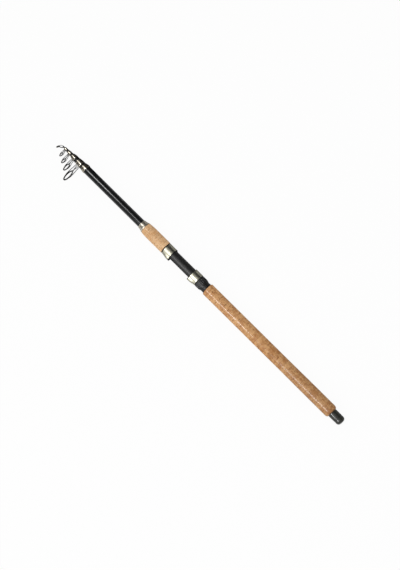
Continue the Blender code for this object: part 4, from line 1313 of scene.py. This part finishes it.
def tipped(shape, centre, side, angle):
    """The shape turned about a line through centre, so that this side of it goes towards
    the tip: x = cos * x + sin * side, and side = cos * side - sin * x."""
    points, faces = shape
    turn = np.eye(3)
    turn[0, 0] = turn[side, side] = np.cos(angle)
    turn[0, side], turn[side, 0] = np.sin(angle), -np.sin(angle)
    return (points - centre) @ turn.T + centre, faces


def wire(path, thickness, foot=True, thin_end=True, reference=ALONG):
    """A wire of this thickness along a path. foot swells its start by a bell of the
    distance, exp(-(distance / braze)^2). An end that is thin runs out to half."""
    path = evenly(path, WIRE_ROWS)
    along = np.arange(len(path)) * WIRE_ROWS
    radius = np.full(len(path), thickness / 2)
    if foot:
        radius *= 1 + BRAZE_SWELL * np.exp(-((along / BRAZE) ** 2))
    if thin_end:
        radius *= 0.5 + 0.5 * ease((along[-1] - along) / THIN_RUN)
    return swept(path, radius, reference)


def leg(number, centre, hug, face, sense):
    """One leg. face is 1 in front of the ring and -1 behind it, and sense is 1 on the
    upper side (+Z) and -1 on the lower. It leaves its collar straight outwards, bends in
    to the ring along a cubic curve, and then follows the ring's face and sinks into it."""
    rear, front, rear_radius, front_radius = collar_ends[number]
    thickness = WIRES[number]
    foot_x = max(centre[0] + face * STANCES[number], rear + thickness)
    share = max(foot_x - rear - SHOULDER, 0) / (front - rear - SHOULDER)
    radius = rear_radius + (front_radius - rear_radius) * share - LEG_BURY
    turn = sense * LEG_SPREAD
    foot = np.array([foot_x, AXIS_Y + radius * np.cos(turn), AXIS_Z + radius * np.sin(turn)])
    angle = sense * np.linspace(LEG_JOINS, LEG_ENDS, len(LEG_SINKS))
    round_ring = on_ring(centre, hug, angle)
    round_ring[:, 0] += face * BAND_HALF[number] * LEG_SINKS
    round_ring, _ = tipped((round_ring, []), centre, UPPER, ASKEW[number])
    bow = LEG_BOW * (round_ring[0, 1] - foot[1])
    arrive = round_ring[1] - round_ring[0]
    arrive /= np.linalg.norm(arrive)
    rising = bezier(foot, foot + OUTWARD * bow, round_ring[0] - arrive * bow, round_ring[0])
    return wire(np.concatenate([rising, round_ring[1:]]), thickness)


def guide(number):
    """The band and the four legs of one guide, and its ceramic ring."""
    body, frame_node, ring_node = f"section_{number}", f"guide_{number}_frame", f"guide_{number}_ring"
    x, centre_y, bore, seat = ring_measures(ring_node)
    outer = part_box(frame_node)[1].y - centre_y
    hug = outer - WIRES[number] / 8
    centre = np.array([x, centre_y, AXIS_Z])
    hoop = band(x, centre_y, seat + PRESS_GAP, outer, BAND_HALF[number])
    hoop = tipped(hoop, centre, UPPER, ASKEW[number])
    legs = [leg(number, centre, hug, face, sense) for face in (1, -1) for sense in (1, -1)]
    wires = together(hoop, *legs)
    add_piece(f"guide_{number}_wires", wires, FRAME_METAL, body, frame_node, sharp=60)
    ring = ceramic_ring(x, centre_y, bore, seat, RING_HALF[number])
    ring = tipped(ring, centre, UPPER, ASKEW[number])
    add_piece(f"guide_{number}_ceramic", ring, CERAMIC, body, ring_node, sharp=70)


for number in SECTIONS:
    guide(number)

# %% [markdown]
# ## The tip-top
#
# The last guide sits on the tip itself. A thin sleeve is glued over the tip, and two
# wires and a short brace hold a small ring that leans forward, so the line can't loop
# round it. The leaning ring is turned about a straight line first and then leaned about
# its own middle.

# %% Tip-top sizes
TIP_LEAN = np.radians(22)
TIP_SLEEVE = 5.2 * MM  # the sleeve's length
TIP_REACH = 7.8 * MM  # the ring's middle from the rod's axis
TIP_ADVANCE = 12.3 * MM  # and from the sleeve's rear
TIP_JOINS = np.radians(78)  # where its wires meet the ring, each side of its nearest point
TIP_CRADLE = np.radians(100)  # and where they end on it
TIP_RADIUS = 4.4 * MM * np.cos(np.pi / 16)  # its band's, inside the solid's 16 corners
TIP_BAND_WALL = 0.6 * MM
TIP_CERAMIC_WALL = 1.2 * MM
TIP_WIRE = 1.0 * MM
TIP_CHAMFER = (0.6 * MM, 0.15 * MM)  # the sleeve's front: along it, and inwards
BRACE_START = (2 * TIP_WIRE, 0.4 * MM)  # behind the sleeve's front, and below the axis
BRACE_PULLS = (5 * MM, 2.4 * MM)  # of its curve: forward at the start, outwards at the end
SIDE_START = (2 * TIP_WIRE, 0.5 * MM)  # ahead of the sleeve's rear, and above the axis
LEAVE = np.array([2.2, 3.6, 0]) * MM  # the pull of a side wire's curve at its start
ARRIVE = np.array([3.4, 1.2, 0]) * MM  # and at the ring
print("ring from the sleeve's rear, mm:", round(TIP_ADVANCE / MM, 1))

# %% Tip-top
node = "tip_top_frame"
rear = span(node)[0]
sleeve_end = rear + TIP_SLEEVE
bore = bore_at(node, rear)
outer = radius_at(node, rear)
corners = [
    (sleeve_end, bore),
    (sleeve_end, outer - TIP_CHAMFER[1]),
    (sleeve_end - TIP_CHAMFER[0], outer),
    (rear, outer, 1.5 * EDGE),
    (rear, bore),
]
shapes = [turned(rounded(corners), 64)]
centre = np.array([rear + TIP_ADVANCE, AXIS_Y + TIP_REACH, AXIS_Z])
inner = TIP_RADIUS - TIP_BAND_WALL
hoop = band(*centre[:2], inner, TIP_RADIUS, BAND_HALF["tip"])
shapes.append(tipped(hoop, centre, OUTER, TIP_LEAN))
down = np.array([np.sin(TIP_LEAN), np.cos(TIP_LEAN), 0])
hug = TIP_RADIUS - TIP_WIRE / 8
ring_foot = centre - down * hug
start = np.array([sleeve_end - BRACE_START[0], AXIS_Y - BRACE_START[1], AXIS_Z])
pulls = start + ALONG * BRACE_PULLS[0], ring_foot - OUTWARD * BRACE_PULLS[1]
brace = bezier(start, *pulls, ring_foot)
shapes.append(wire(brace, TIP_WIRE, foot=False, thin_end=False, reference=ACROSS))
for sense in (1, -1):
    start = np.array([rear + SIDE_START[0], AXIS_Y + SIDE_START[1], AXIS_Z + sense * outer])
    angle = np.linspace(TIP_JOINS, TIP_CRADLE, 16)[:, None]
    round_ring = centre - down * hug * np.cos(angle) + sense * hug * np.sin(angle) * ACROSS
    rising = bezier(start, start + LEAVE, round_ring[0] - ARRIVE, round_ring[0])
    path = np.concatenate([rising, round_ring[1:]])
    shapes.append(wire(path, TIP_WIRE, foot=False, reference=ACROSS))
add_piece("tip_top_wires", together(*shapes), FRAME_METAL, "tip_section", node, sharp=60)
seat = inner - PRESS_GAP
ring = ceramic_ring(*centre[:2], seat - TIP_CERAMIC_WALL, seat, RING_HALF["tip"])
ring = tipped(ring, centre, OUTER, TIP_LEAN)
add_piece("tip_top_ceramic", ring, CERAMIC, "tip_section", "tip_top_ring", sharp=70)
